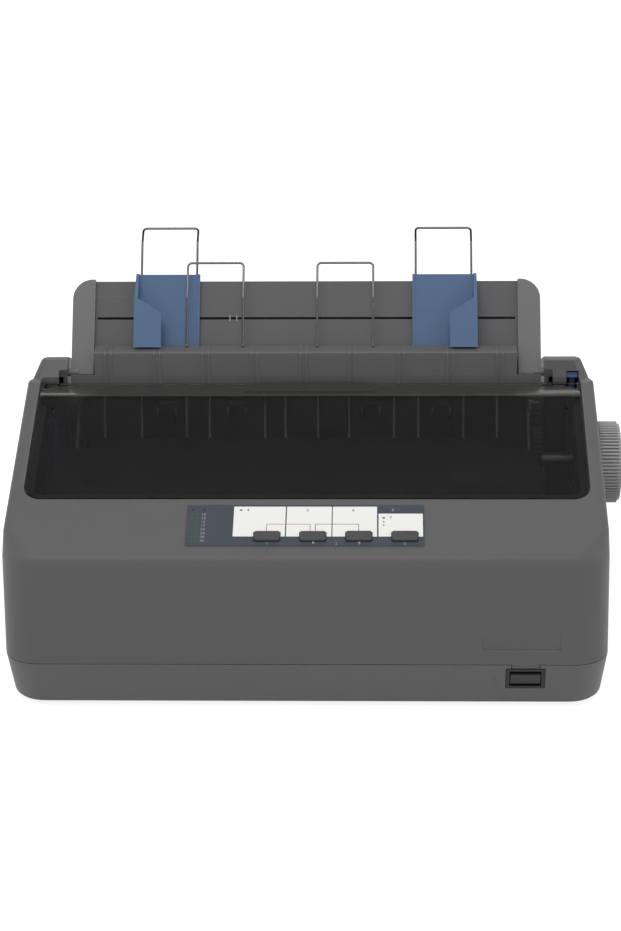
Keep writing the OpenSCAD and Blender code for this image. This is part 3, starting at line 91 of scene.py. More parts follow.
def guide_place(x, u, off=0.0):
    """A place u mm up the paper guide from its pivot, and off mm in front of it."""
    y = GUIDE_Y + u * cos(GUIDE_ANGLE) - off * sin(GUIDE_ANGLE)
    z = GUIDE_Z + u * sin(GUIDE_ANGLE) + off * cos(GUIDE_ANGLE)
    return at(x, y, z)


print("deck's front edge:", [round(v, 4) for v in deck_place(0, 0)])

# %% [markdown]
# ## Camera
# The photograph looks down on the machine by 24 degrees from about 1.4 metres, with a long lens
# that keeps the sides nearly parallel. The camera stands 43 mm right of the middle and turns
# back towards it, so no lens shift is needed.

# %% Camera
CAMERA_PLACE = (43.27, -1226.4, 702.5)   # in millimetres, as above
camera_data = bpy.data.cameras.new("camera")
camera_data.lens = 93.3
camera_data.sensor_width = 36.0
camera_data.clip_end = 20.0
camera = bpy.data.objects.new("camera", camera_data)
camera.location = at(*CAMERA_PLACE)
pitch, yaw = radians(23.975), radians(1.652)
camera.rotation_euler = (Matrix.Rotation(pi / 2 - pitch, 3, "X") @ Matrix.Rotation(yaw, 3, "Y")).to_euler()
scene.collection.objects.link(camera)
scene.camera = camera
print("camera at", [round(v, 3) for v in camera.location])

# %% [markdown]
# ## Node helpers
# Every material and the world are built from the same few nodes. These helpers make one node each,
# link what goes in, and hand back the socket that comes out.

# %% Helpers that make one node each
def principled(name):
    """A new material and its Principled shader."""
    material = bpy.data.materials.new(name)
    material.use_nodes = True
    return material, material.node_tree.nodes["Principled BSDF"]


def math_node(tree, operation, a, b=None, c=None):
    """A Math node on sockets or plain numbers, and its result."""
    node = tree.nodes.new("ShaderNodeMath")
    node.operation = operation
    for socket, value in zip(node.inputs, (a, b, c)):
        if value is None:
            continue
        if isinstance(value, (int, float)):
            socket.default_value = value
        else:
            tree.links.new(value, socket)
    return node.outputs[0]


def map_range(tree, value, low, high, start=0.0, end=1.0):
    """Turns a value between start and end into one between low and high."""
    node = tree.nodes.new("ShaderNodeMapRange")
    for label, number in (("From Min", start), ("From Max", end), ("To Min", low), ("To Max", high)):
        node.inputs[label].default_value = number
    tree.links.new(value, node.inputs["Value"])
    return node.outputs["Result"]


def mix_colour(tree, factor, a, b):
    """Colour a where the factor is 0 and b where it is 1; each is a socket or a plain value."""
    node = tree.nodes.new("ShaderNodeMix")
    node.data_type = "RGBA"
    for socket, value in (("Factor", factor), ("A", a), ("B", b)):
        if isinstance(value, (int, float, tuple)):
            node.inputs[socket].default_value = value
        else:
            tree.links.new(value, node.inputs[socket])
    return node.outputs["Result"]


def object_noise(tree, scale, detail=2.0, rough=0.5):
    """Noise on the piece's own coordinates; scale is a number or a socket."""
    coords = tree.nodes.new("ShaderNodeTexCoord")
    noise = tree.nodes.new("ShaderNodeTexNoise")
    noise.inputs["Detail"].default_value = detail
    noise.inputs["Roughness"].default_value = rough
    tree.links.new(coords.outputs["Object"], noise.inputs["Vector"])
    if isinstance(scale, (int, float)):
        noise.inputs["Scale"].default_value = scale
    else:
        tree.links.new(scale, noise.inputs["Scale"])
    return noise.outputs["Fac"]


print("helpers ready")

# %% [markdown]
# ## Stage and light
# A product shot on white: one wide pale floor that runs far behind the machine, a soft key lamp
# above the camera, a weaker one on each side and one behind. The floor is only lifted to full
# white where the camera, a mirror or clear plastic sees it, so it doesn't throw extra light on
# the machine.

# %% Floor
FLOOR_LIFT = 0.85
floor_material, floor_shader = principled("pale_floor")
floor_shader.inputs["Base Color"].default_value = (0.5, 0.5, 0.5, 1)
floor_shader.inputs["Roughness"].default_value = 0.9
floor_shader.inputs["Specular IOR Level"].default_value = 0.0
floor_shader.inputs["Emission Color"].default_value = (1, 1, 1, 1)
tree = floor_material.node_tree
rays = tree.nodes.new("ShaderNodeLightPath").outputs
seen = math_node(tree, "MAXIMUM", rays["Is Camera Ray"], rays["Is Glossy Ray"])
seen = math_node(tree, "MAXIMUM", seen, rays["Is Transmission Ray"])
tree.links.new(math_node(tree, "MULTIPLY", seen, FLOOR_LIFT), floor_shader.inputs["Emission Strength"])

floor_mesh = bpy.data.meshes.new("floor")
bm = bmesh.new()
bmesh.ops.create_grid(bm, x_segments=1, y_segments=1, size=6.0)
bm.to_mesh(floor_mesh)
bm.free()
floor = bpy.data.objects.new("floor", floor_mesh)
floor.data.materials.append(floor_material)
scene.collection.objects.link(floor)
print("floor:", len(floor_mesh.polygons), "face")

# %% [markdown]
# The camera and the clear plastic see a white backdrop. The machine is lit by an even grey, and
# mirrors see a room that darkens towards its ceiling, which keeps the smoked cover deep.

# %% World
WHITE = (1, 1, 1, 1)
CEILING = (0.05, 0.05, 0.055, 1)
EVEN_LIGHT = (0.44, 0.44, 0.445, 1)
world = bpy.data.worlds.new("studio")
scene.world = world
world.use_nodes = True
tree = world.node_tree
coords = tree.nodes.new("ShaderNodeTexCoord")
height = tree.nodes.new("ShaderNodeSeparateXYZ")
tree.links.new(coords.outputs["Generated"], height.inputs[0])
rays = tree.nodes.new("ShaderNodeLightPath").outputs
room = mix_colour(tree, map_range(tree, height.outputs["Z"], 0.0, 1.0, 0.25, 0.7), WHITE, CEILING)
mirrored = mix_colour(tree, rays["Is Glossy Ray"], EVEN_LIGHT, room)
direct = math_node(tree, "MAXIMUM", rays["Is Camera Ray"], rays["Is Transmission Ray"])
tree.links.new(mix_colour(tree, direct, mirrored, WHITE), tree.nodes["Background"].inputs["Color"])
print("world nodes:", len(tree.nodes))


# %% Lamps
def lamp(name, place, target, size, watts):
    """A soft box that looks at a target; places and sizes in metres."""
    data = bpy.data.lights.new(name, "AREA")
    data.shape = "RECTANGLE"
    data.size, data.size_y = size
    data.energy = watts
    ob = bpy.data.objects.new(name, data)
    ob.location = place
    ob.rotation_euler = (Vector(target) - Vector(place)).to_track_quat("-Z", "Y").to_euler()
    scene.collection.objects.link(ob)
    return ob


lamps = [
    lamp("key", (-0.25, -0.8, 2.2), (0, 0, 0.1), (1.5, 1.0), 15),
    lamp("left", (-1.8, -0.3, 1.1), (0, 0, 0.1), (0.9, 1.2), 1.5),
    lamp("right", (1.8, -0.3, 1.1), (0, 0, 0.1), (0.9, 1.2), 3),
    lamp("back", (0.2, 1.6, 1.3), (0, 0, 0.15), (1.4, 0.6), 5),
]
scene.view_settings.view_transform = "Standard"
print("lamps:", [l.name for l in lamps])

# %% [markdown]
# ## Shared surface effects
# Moulded plastic is never one flat colour. Spark-eroded moulds leave a fine grain, long edges get
# polished paler by hands, and dust settles on what faces up. Each effect is a node group, built
# once, which gives only a mask or a height; every material sets its own strengths.

# %% Node groups for grain, tone, edge wear and dust
def new_group(name, inputs, outputs):
    """An empty node group with number sockets, and its input and output nodes."""
    tree = bpy.data.node_groups.new(name, "ShaderNodeTree")
    for label, value in inputs.items():
        socket = tree.interface.new_socket(label, in_out="INPUT", socket_type="NodeSocketFloat")
        socket.default_value = value
    for label in outputs:
        tree.interface.new_socket(label, in_out="OUTPUT", socket_type="NodeSocketFloat")
    return tree, tree.nodes.new("NodeGroupInput"), tree.nodes.new("NodeGroupOutput")


grain_group, gin, gout = new_group("moulded_grain", {"Size": 1400.0}, ["Height", "Tone"])
fine = object_noise(grain_group, gin.outputs["Size"], 3.0, 0.6)
broad = object_noise(grain_group, 9.0, 2.0)
grain_group.links.new(fine, gout.inputs["Height"])
grain_group.links.new(broad, gout.inputs["Tone"])

wear_group, win, wout = new_group("edge_wear", {"Radius": 0.0009, "Amount": 0.5}, ["Mask"])
round_normal = wear_group.nodes.new("ShaderNodeBevel")
round_normal.samples = 4
wear_group.links.new(win.outputs["Radius"], round_normal.inputs["Radius"])
true_normal = wear_group.nodes.new("ShaderNodeNewGeometry")
turn = wear_group.nodes.new("ShaderNodeVectorMath")
turn.operation = "DOT_PRODUCT"
wear_group.links.new(round_normal.outputs["Normal"], turn.inputs[0])
wear_group.links.new(true_normal.outputs["Normal"], turn.inputs[1])
edge = math_node(wear_group, "SUBTRACT", 1.0, turn.outputs["Value"])
patches = object_noise(wear_group, 120.0, 3.0)
patchy = math_node(wear_group, "MULTIPLY", edge, patches)
strong = math_node(wear_group, "MULTIPLY", patchy, win.outputs["Amount"])
spread = math_node(wear_group, "MULTIPLY", strong, 8.0)
limited = wear_group.nodes.new("ShaderNodeClamp")
wear_group.links.new(spread, limited.inputs["Value"])
wear_group.links.new(limited.outputs["Result"], wout.inputs["Mask"])

dust_group, din, dout = new_group("dust", {"Amount": 0.1}, ["Mask"])
facing = dust_group.nodes.new("ShaderNodeNewGeometry")
split = dust_group.nodes.new("ShaderNodeSeparateXYZ")
dust_group.links.new(facing.outputs["Normal"], split.inputs[0])
upward = math_node(dust_group, "MULTIPLY_ADD", split.outputs["Z"], 1.4, -0.4)
specks = object_noise(dust_group, 60.0, 5.0, 0.7)
settled = math_node(dust_group, "MULTIPLY", math_node(dust_group, "MAXIMUM", upward, 0.0), specks)
dust_group.links.new(math_node(dust_group, "MULTIPLY", settled, din.outputs["Amount"]), dout.inputs["Mask"])
print("node groups:", [g.name for g in bpy.data.node_groups])

# %% [markdown]
# ## Materials
# One recipe serves every plastic: a base colour whose tone drifts slightly, paler edges, a veil of
# dust and a bump of fine grain. Metals swap the grain for brushing, rubber for a dull ground
# skin. Real values differ in colour, gloss and grain size, so those are the recipe's arguments.

# %% Recipes for plastic, metal and rubber
DUST = (0.45, 0.43, 0.4, 1)
RUBBER_DUST = (0.4, 0.39, 0.37, 1)
WORN = 1.9              # how much paler a worn edge is


def group_node(tree, group, **values):
    """One use of a shared effect, with its own strengths."""
    node = tree.nodes.new("ShaderNodeGroup")
    node.node_tree = group
    for label, value in values.items():
        node.inputs[label].default_value = value
    return node


def shade(colour, factor):
    """The colour made darker or lighter by a factor."""
    return tuple(min(1.0, c * factor) for c in colour[:3]) + (1.0,)


def srgb(r, g, b):
    """Linear colour from the 0-255 values that a picture shows."""
    shares = [v / 255 for v in (r, g, b)]
    return tuple(v / 12.92 if v <= 10 / 255 else ((v + 0.055) / 1.055) ** 2.4 for v in shares) + (1.0,)


def bump(tree, shader, height, strength, distance):
    """Turns a height into small slopes of the shader's surface; distance in metres."""
    node = tree.nodes.new("ShaderNodeBump")
    node.inputs["Strength"].default_value = strength
    node.inputs["Distance"].default_value = distance
    tree.links.new(height, node.inputs["Height"])
    tree.links.new(node.outputs["Normal"], shader.inputs["Normal"])


def plastic(name, colour, roughness=0.5, grain=1400.0, depth=0.25, wear=0.35, dust=0.08, drift=0.05):
    """Moulded plastic: grain, slight tone drift, paler edges and dust."""
    material, shader = principled(name)
    tree = material.node_tree
    texture = group_node(tree, grain_group, Size=grain)
    worn = group_node(tree, wear_group, Radius=0.0008, Amount=wear)
    dusty = group_node(tree, dust_group, Amount=dust)
    body = mix_colour(tree, texture.outputs["Tone"], shade(colour, 1 - drift), shade(colour, 1 + drift))
    edged = mix_colour(tree, worn.outputs["Mask"], body, shade(colour, WORN))
    final = mix_colour(tree, dusty.outputs["Mask"], edged, DUST)
    tree.links.new(final, shader.inputs["Base Color"])
    gloss = map_range(tree, texture.outputs["Height"], roughness - 0.06, roughness + 0.06)
    tree.links.new(gloss, shader.inputs["Roughness"])
    shader.inputs["Specular IOR Level"].default_value = 0.4
    bump(tree, shader, texture.outputs["Height"], depth, 0.0002)
    return material


def metal(name, colour, roughness=0.3, brush=(60.0, 900.0, 900.0), depth=0.12):
    """Ground or rolled metal: fine lines along one axis and a slow drift of tone."""
    material, shader = principled(name)
    tree = material.node_tree
    coords = tree.nodes.new("ShaderNodeTexCoord")
    stretch = tree.nodes.new("ShaderNodeMapping")
    stretch.inputs["Scale"].default_value = brush
    lines = tree.nodes.new("ShaderNodeTexNoise")
    lines.inputs["Scale"].default_value = 1.0
    lines.inputs["Detail"].default_value = 3.0
    tree.links.new(coords.outputs["Object"], stretch.inputs["Vector"])
    tree.links.new(stretch.outputs["Vector"], lines.inputs["Vector"])
    tone = object_noise(tree, 14.0, 3.0)
    body = mix_colour(tree, tone, shade(colour, 0.86), shade(colour, 1.08))
    tree.links.new(body, shader.inputs["Base Color"])
    gloss = map_range(tree, lines.outputs["Fac"], max(0.04, roughness - 0.1), roughness + 0.12)
    tree.links.new(gloss, shader.inputs["Roughness"])
    shader.inputs["Metallic"].default_value = 1.0
    bump(tree, shader, lines.outputs["Fac"], depth, 0.0001)
    return material


def rubber(name, colour, roughness=0.75):
    """Ground rubber: a dull skin with fine pits."""
    material, shader = principled(name)
    tree = material.node_tree
    pits = object_noise(tree, 2600.0, 4.0, 0.7)
    body = mix_colour(tree, object_noise(tree, 30.0), shade(colour, 0.8), shade(colour, 1.25))
    dusty = group_node(tree, dust_group, Amount=0.12)
    final = mix_colour(tree, dusty.outputs["Mask"], body, RUBBER_DUST)
    tree.links.new(final, shader.inputs["Base Color"])
    shader.inputs["Roughness"].default_value = roughness
    shader.inputs["Specular IOR Level"].default_value = 0.3
    bump(tree, shader, pits, 0.3, 0.0002)
    return material


print("recipes ready")

# %% The printer's materials
finish = {
    "case_top": plastic("case_top_plastic", srgb(105, 105, 106), 0.5),
    # painted shade: the towers' steep fronts get a darker grey than the case, standing in for the shade that
    # falls on them
    "tower_shade": plastic("tower_front_painted_shade", srgb(84, 84, 85), 0.55),
    "case_base": plastic("case_base_plastic", srgb(118, 118, 119), 0.52),
    "exit": plastic("exit_plate_plastic", srgb(109, 109, 110), 0.45, depth=0.15),
    "guide": plastic("paper_guide_plastic", srgb(104, 104, 105), 0.48, depth=0.15),
    "column": plastic("guide_column_plastic", srgb(127, 127, 128), 0.48, depth=0.15),
    "blue": plastic("edge_guide_blue", srgb(86, 117, 156), 0.42, depth=0.12, wear=0.25),
    "lever": plastic("lever_blue", srgb(78, 108, 152), 0.42, depth=0.12),
    "deep_blue": plastic("deep_blue_plastic", srgb(82, 102, 205), 0.4, depth=0.1),
    "key_cap": plastic("button_plastic", srgb(84, 84, 87), 0.42, grain=2200.0, depth=0.12, wear=0.2),
    "knob": plastic("knob_plastic", srgb(176, 176, 177), 0.5, depth=0.2),
    "switch": plastic("switch_black", srgb(24, 24, 26), 0.35, depth=0.12, wear=0.15, dust=0.03),
    "black": plastic("mechanism_black", srgb(28, 28, 30), 0.45, grain=1100.0, depth=0.3, wear=0.2, dust=0.05),
    "cartridge": plastic("cartridge_plastic", srgb(66, 66, 65), 0.5, grain=900.0, depth=0.3, wear=0.2,
                         dust=0.04),
    # painted highlight: the ribs' front edges are near white, standing in for the glints that light makes on
    # them
    "rib_highlight": plastic("rib_painted_highlight", srgb(222, 222, 216), 0.35, depth=0.1, wear=0.0, dust=0.0),
    "contact": metal("gilt_contact", (0.75, 0.55, 0.25, 1), 0.25, brush=(80.0, 900.0, 80.0)),
    "nylon": plastic("gear_nylon", srgb(104, 103, 98), 0.4, grain=900.0, depth=0.08, wear=0.1, dust=0.1),
    "steel": metal("ground_steel", (0.4, 0.4, 0.415, 1), 0.3),
    "plate": metal("zinc_plate", (0.22, 0.22, 0.23, 1), 0.5, brush=(700.0, 60.0, 60.0)),
    "wire": metal("bright_wire", (0.2, 0.2, 0.205, 1), 0.18, brush=(500.0, 500.0, 60.0), depth=0.03),
    "brass": metal("turned_brass", (0.62, 0.46, 0.2, 1), 0.25, brush=(900.0, 80.0, 80.0)),
    "can": plastic("motor_paint", srgb(30, 30, 33), 0.5, grain=600.0, depth=0.2),
    "rubber": rubber("ground_rubber", srgb(36, 36, 38)),
    "foot": rubber("foot_rubber", srgb(26, 26, 27), 0.8),
    "belt": rubber("belt_rubber", srgb(24, 24, 25), 0.7),
}
print("finishes:", len(finish))

# %% [markdown]
# The smoked cover is a real pane: clear plastic with a dark tint, so the mechanism under it shows
# faintly and the paper guide is mirrored in it. Handling leaves a veil that varies its gloss. The
# level strip at its rear is frosted, so it shows paler than the window.

# %% Smoked cover and label films
smoke, shader = principled("smoked_cover_plastic")
shader.inputs["Base Color"].default_value = (0.27, 0.266, 0.258, 1)
shader.inputs["IOR"].default_value = 1.49
shader.inputs["Transmission Weight"].default_value = 1.0
tree = smoke.node_tree
veil = map_range(tree, object_noise(tree, 14.0, 4.0), 0.03, 0.1, 0.35, 0.7)
tree.links.new(veil, shader.inputs["Roughness"])

frost, shader = principled("frosted_cover_plastic")
shader.inputs["Base Color"].default_value = (0.17, 0.166, 0.158, 1)
shader.inputs["Roughness"].default_value = 0.22
shader.inputs["IOR"].default_value = 1.49
shader.inputs["Transmission Weight"].default_value = 0.7
finish.update({"smoke": smoke, "frost": frost})


def film(name, colour, roughness=0.35, drift=0.03):
    """Printed film: smooth and even, with a trace of orange peel."""
    return plastic(name, colour, roughness, grain=500.0, depth=0.03, wear=0.0, dust=0.05, drift=drift)


finish.update({
    "label": film("panel_film", srgb(80, 88, 98)),
    "white": film("panel_white", srgb(250, 251, 246), 0.4, 0.01),
    "ink_red": film("panel_red", srgb(196, 92, 84)),
    "ink_blue": film("panel_blue", srgb(96, 116, 160)),
    "ink_dark": film("panel_dark", srgb(46, 52, 62)),
    "ink_header": film("panel_header", srgb(52, 62, 84)),
    "ink_pale": film("panel_pale", srgb(176, 182, 190)),
    "lamp_green": film("lamp_green", srgb(66, 120, 74), 0.3),
    "lamp_amber": film("lamp_amber", srgb(214, 176, 60), 0.3),
})
# the white film glows a little, as label stock with a brightener does in daylight; here that glow is painted
# light, added whatever the lamps do
glowing_white_shader = finish["white"].node_tree.nodes["Principled BSDF"]
glowing_white_shader.inputs["Emission Color"].default_value = (1, 1, 0.98, 1)
glowing_white_shader.inputs["Emission Strength"].default_value = 0.14
print("films ready")

# %% [markdown]
# ## Circuit boards and the ribbon
# Boards are seen only from below the case or with it open, but they get tracks and solder mask
# all the same: a cell pattern gives the copper areas under the green. The ribbon is an inked
# weave, made of two crossed waves.

# %% Boards and ribbon
def board(name, mask_colour, copper_colour):
    material, shader = principled(name)
    tree = material.node_tree
    coords = tree.nodes.new("ShaderNodeTexCoord")
    cells = tree.nodes.new("ShaderNodeTexVoronoi")
    cells.distance = "MANHATTAN"
    cells.feature = "F1"
    cells.inputs["Scale"].default_value = 220.0
    tree.links.new(coords.outputs["Object"], cells.inputs["Vector"])
    tracks = math_node(tree, "GREATER_THAN", cells.outputs["Distance"], 0.42)
    tree.links.new(mix_colour(tree, tracks, mask_colour, copper_colour), shader.inputs["Base Color"])
    shader.inputs["Roughness"].default_value = 0.35
    bump(tree, shader, tracks, 0.3, 0.0001)
    return material


finish["board"] = board("green_board", srgb(22, 78, 44), srgb(46, 118, 66))
finish["laminate"] = board("brown_board", srgb(150, 112, 60), srgb(176, 140, 84))

weave, shader = principled("inked_weave")
tree = weave.node_tree
coords = tree.nodes.new("ShaderNodeTexCoord")
threads = []
for direction in ("X", "Z"):
    wave = tree.nodes.new("ShaderNodeTexWave")
    wave.bands_direction = direction
    wave.inputs["Scale"].default_value = 900.0
    tree.links.new(coords.outputs["Object"], wave.inputs["Vector"])
    threads.append(wave.outputs["Fac"])
cross = math_node(tree, "MAXIMUM", *threads)
tree.links.new(mix_colour(tree, cross, srgb(8, 8, 10), srgb(34, 34, 40)), shader.inputs["Base Color"])
shader.inputs["Roughness"].default_value = 0.6
bump(tree, shader, cross, 0.4, 0.0001)
finish["ribbon"] = weave
print("boards and ribbon ready")

# %% [markdown]
# ## Finishes by part
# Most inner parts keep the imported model's shape, because their bores, teeth and flats are exact
# there. They only need a finish. The visible mouldings take theirs from the same table when they
# are remade below.

# %% One finish for each part
PART_FINISH = {
    "plate": "mechanism_frame data_sockets",
    "steel": "platen_shaft eject_shaft guide_shaft tractor_shaft tractor_rod case_screws",
    "rubber": "platen_roller pinch_rollers eject_rollers",
    "nylon": "platen_gear tractor_idler_a tractor_idler_b eject_idler sprocket_left sprocket_right"
             " idler_pulley",
    "brass": "feed_pinion drive_pulley",
    "can": "feed_motor carriage_motor print_head",
    "cartridge": "ribbon_cartridge ribbon_knob",
    "black": "eject_frame paper_chute carriage tractor_left tractor_right tractor_flap_left"
             " tractor_flap_right",
    "belt": "carriage_belt",
    "ribbon": "ink_ribbon",
    "board": "main_board panel_board",
    "laminate": "power_board",
    "switch": "switch_housing power_rocker mains_inlet",
    "case_top": "upper_case",
    "case_base": "lower_case",
    "exit": "exit_plate",
    "guide": "paper_guide",
    "blue": "edge_guide_left edge_guide_right",
    "lever": "release_lever",
    "deep_blue": "gap_lever",
    "knob": "platen_knob",
    "key_cap": "panel_button_1 panel_button_2 panel_button_3 panel_button_4",
    "foot": "rubber_feet",
    "smoke": "printer_cover",
    "label": "panel_label",
    "wire": "stacker_wires edge_wire_left edge_wire_right",
}
part_finish = {part: key for key, parts in PART_FINISH.items() for part in parts.split()}
for part, ob in nodes.items():
    ob.data.materials.clear()
    ob.data.materials.append(finish[part_finish[part]])
print("parts with a finish:", len(part_finish), "of", len(nodes))

# %% [markdown]
# ## Moulded parts with softened edges
# No moulded edge is knife sharp, and it is the thin highlight along each edge that makes plastic
# look real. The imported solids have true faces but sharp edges, as loose triangles. So each
# visible moulding is remade from a merged copy: coplanar triangles are dissolved into the flat
# faces they came from, the sharp edges get a small bevel, and the normals are weighted by face
# area, so that wide flats stay flat and only the bevels shade round.

# %% Copy a solid and soften its edges
WELD = 4e-6             # metres within which two corners are one
SLIVER = 2e-6           # metres below which an edge is dropped
FLAT = radians(0.5)     # angle up to which two faces are one flat


def merged_copy(part):
    """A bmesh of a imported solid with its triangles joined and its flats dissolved."""
    bm = bmesh.new()
    bm.from_mesh(nodes[part].data)
    bmesh.ops.remove_doubles(bm, verts=bm.verts, dist=WELD)
    bmesh.ops.dissolve_degenerate(bm, edges=bm.edges, dist=SLIVER)
    bmesh.ops.dissolve_limit(bm, angle_limit=FLAT, verts=bm.verts, edges=bm.edges)
    return bm


def finished_piece(bm, name, material, body, smooth_angle=32):
    """Turns a bmesh into an object with a finish, smooth up to an angle, that rides on a body."""
    mesh = bpy.data.meshes.new(name)
    bm.to_mesh(mesh)
    bm.free()
    if "custom_normal" in mesh.attributes:
        mesh.attributes.remove(mesh.attributes["custom_normal"])
    for face in mesh.polygons:
        face.use_smooth = True
    mesh.set_sharp_from_angle(angle=radians(smooth_angle))
    mesh.materials.append(finish[material])
    ob = bpy.data.objects.new(name, mesh)
    scene.collection.objects.link(ob)
    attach(ob, body)
    return ob


def soften(ob, width):
    """Live bevel on the sharp edges, then normals weighted by face area."""
    bevel = ob.modifiers.new("soft edges", "BEVEL")
    bevel.width = width * MM
    bevel.segments = 2
    bevel.limit_method = "ANGLE"
    bevel.angle_limit = radians(35)
    bevel.use_clamp_overlap = True
    bevel.harden_normals = False
    weigh = ob.modifiers.new("flat faces stay flat", "WEIGHTED_NORMAL")
    weigh.keep_sharp = True


def moulding(part, width):
    """A softened stand-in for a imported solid; width in millimetres."""
    ob = finished_piece(merged_copy(part), part + "_moulded", part_finish[part], body_of_part[part])
    soften(ob, width)
    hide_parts(part)
    print(part, len(ob.data.polygons), "faces")


record = frame["record"]
body_of_part = {part: body for body, parts in record["behaviour"]["bodies"].items() for part in parts}
EDGE_WIDTHS = {
    "upper_case": 0.4, "lower_case": 0.4, "exit_plate": 0.25, "paper_guide": 0.3, "edge_guide_left": 0.3,
    "edge_guide_right": 0.3, "platen_knob": 0.25, "switch_housing": 0.3, "power_rocker": 0.3,
    "release_lever": 0.3, "gap_lever": 0.3, "ribbon_cartridge": 0.4, "eject_frame": 0.15,
    "rubber_feet": 0.4, "mains_inlet": 0.3, "data_sockets": 0.25, "printer_cover": 0.3,
    "panel_button_1": 0.6, "panel_button_2": 0.6, "panel_button_3": 0.6, "panel_button_4": 0.6,
}
for part, width in EDGE_WIDTHS.items():
    moulding(part, width)

# %% [markdown]
# Four mouldings get a second finish on some of their faces: the frosted strip of the cover, a painted
# highlight on the front edges of the ribs behind the platen, painted shade on the fronts of the two
# towers and the paler columns of the paper guide.

# %% Second finishes
FORWARD = -0.2          # a face looks forward when its normal's y is below this
RIB_T = 1.4             # the ribs' edges are thinner than this
TOWER_FACE = 40         # square millimetres; smaller faces are fillets


def second_finish(part, key, chosen):
    """Gives another finish to those faces of a moulding that a test picks."""
    mesh = scene.objects[part + "_moulded"].data
    mesh.materials.append(finish[key])
    for face in mesh.polygons:
        if chosen(face):
            face.material_index = 1
    print(part, "has", sum(f.material_index for f in mesh.polygons), "faces in", key)


def behind_bend(face):
    return face.center.y > (CASE_FRONT_Y + BEND_Y + 0.4) * MM


def thin_and_forward(face):
    corners = face.id_data.vertices
    across = [corners[i].co.x for i in face.vertices]
    return max(across) - min(across) < RIB_T * MM and face.normal.y < FORWARD


def tower_front(face):
    raised = face.center.y > (CASE_FRONT_Y + TOWER_Y) * MM and face.center.z > STRIP_Z * MM
    return raised and face.normal.y < FORWARD and face.area > TOWER_FACE * MM ** 2


def on_column(face):
    return abs(face.center.x - at(GUIDE_MID_X, 0, 0).x) > COLUMN_FROM * MM


second_finish("printer_cover", "frost", behind_bend)
# painted highlight: the ribs' thin front faces get the near-white finish
second_finish("eject_frame", "rib_highlight", thin_and_forward)
# painted shade: the towers' large front faces get the darker finish
second_finish("upper_case", "tower_shade", tower_front)
second_finish("paper_guide", "column", on_column)

# %% [markdown]
# ## Wire supports
# Four bows of bright spring wire hold the paper up: two stand in the exit plate and one in each
# edge guide. A real bow is one wire bent cold around a former. A curve with a bevel would do, but
# here the wire is made as the bender makes it: a round section is extruded along each straight run
# and spun about the former's centre at each bend, so every bend has a true radius.

# %% Bend a wire
def bent_wire(bm, points, bend, radius, sides=14, steps=7):
    """One closed tube along the points, with arcs of radius bend at the corners; all in metres."""
    way = (points[1] - points[0]).normalized()
    start = Matrix.Translation(points[0]) @ way.to_track_quat("Z", "Y").to_matrix().to_4x4()
    made = bmesh.ops.create_circle(bm, cap_ends=True, radius=radius, segments=sides, matrix=start)
    ring = list({e for v in made["verts"] for e in v.link_edges})
    here = points[0]
    for i in range(1, len(points)):
        last = i == len(points) - 1
        after = way if last else (points[i + 1] - points[i]).normalized()
        turn = 0.0 if last else way.angle(after)
        cut = bend * tan(turn / 2)
        out = bmesh.ops.extrude_edge_only(bm, edges=ring)["geom"]
        moved = {g for g in out if isinstance(g, bmesh.types.BMVert)}
        step = way * ((points[i] - here).length - cut)
        bmesh.ops.translate(bm, verts=list(moved), vec=step)
        ring = [g for g in out if isinstance(g, bmesh.types.BMEdge) and set(g.verts) <= moved]
        here = here + step
        if last:
            break
        inward = (after - way * after.dot(way)).normalized()
        out = bmesh.ops.spin(bm, geom=ring, cent=here + inward * bend, axis=way.cross(after), angle=turn,
                             steps=steps, use_duplicate=False)
        ring = [g for g in out["geom_last"] if isinstance(g, bmesh.types.BMEdge)]
        here = points[i] + after * cut
        way = after
    bmesh.ops.contextual_create(bm, geom=ring)


WIRE_R = 0.77           # just inside the solid wire's facets
BEND_R = 2.6
BOW_W = 34.8


def wire_piece(name, bows, replaced):
    """All bows of one packed wire part, as one piece in its place."""
    bm = bmesh.new()
    for bow in bows:
        bent_wire(bm, bow, BEND_R * MM, WIRE_R * MM)
    bmesh.ops.recalc_face_normals(bm, faces=bm.faces)
    ob = finished_piece(bm, name, "wire", body_of_part[replaced], 50)
    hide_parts(replaced)
    print(name, len(ob.data.vertices), "points")


def exit_bow(middle):
    """Up out of the exit plate, back over the paper's way, across and down again."""
    rise = ((168.6, 157.6), (168.6, 163.9), (185.8, 189.1), (201.5, 206.0))
    left, right = middle - BOW_W / 2, middle + BOW_W / 2
    return [at(left, y, z) for y, z in rise] + [at(right, y, z) for y, z in rise[::-1]]


wire_piece("exit_bows", [exit_bow(-59.3), exit_bow(21.6)], "stacker_wires")


# %% Bows on the edge guides
WIRE_OFF = -3.7         # the wire's middle, off the guide's front
TIP_U = 83.5            # where its tip bends back
TIP_LEN = 12
TIP_BACK = radians(27)


def edge_bow(x_first, x_second):
    """Up along the guide's plane, tipped back at the top, across and down again."""
    rise = ((59.0, WIRE_OFF), (TIP_U, WIRE_OFF),
            (TIP_U + TIP_LEN * cos(TIP_BACK), WIRE_OFF - TIP_LEN * sin(TIP_BACK)))
    first = [guide_place(x_first, u, off) for u, off in rise]
    return first + [guide_place(x_second, u, off) for u, off in rise[::-1]]


for side, part in ((-1, "edge_wire_left"), (1, "edge_wire_right")):
    outer = GUIDE_MID_X + side * (EDGE_X - 3.0)
    inner = outer - side * BOW_W
    wire_piece(part + "_bow", [edge_bow(outer, inner)], part)

# %% [markdown]
# ## Control panel
# The panel is a printed film stuck to the deck. Its print is modelled as films a few hundredths of
# a millimetre thick, so it moves and lights as real surfaces. The lettering of the real
# panel is left off. Plain numbers, arrows and bars stand in its place, which any printer could
# carry.

# %% Films on the deck
def on_deck(x, u, off):
    """Matrix from a patch's own axes to the deck: x across, y up the deck, z off it."""
    return Matrix.Translation(deck_place(x, u, off)) @ Matrix.Rotation(DECK_ANGLE, 4, "X")


BAR_T = 0.04            # thickness of a printed bar
DOT_T = 0.05            # thickness of a printed dot


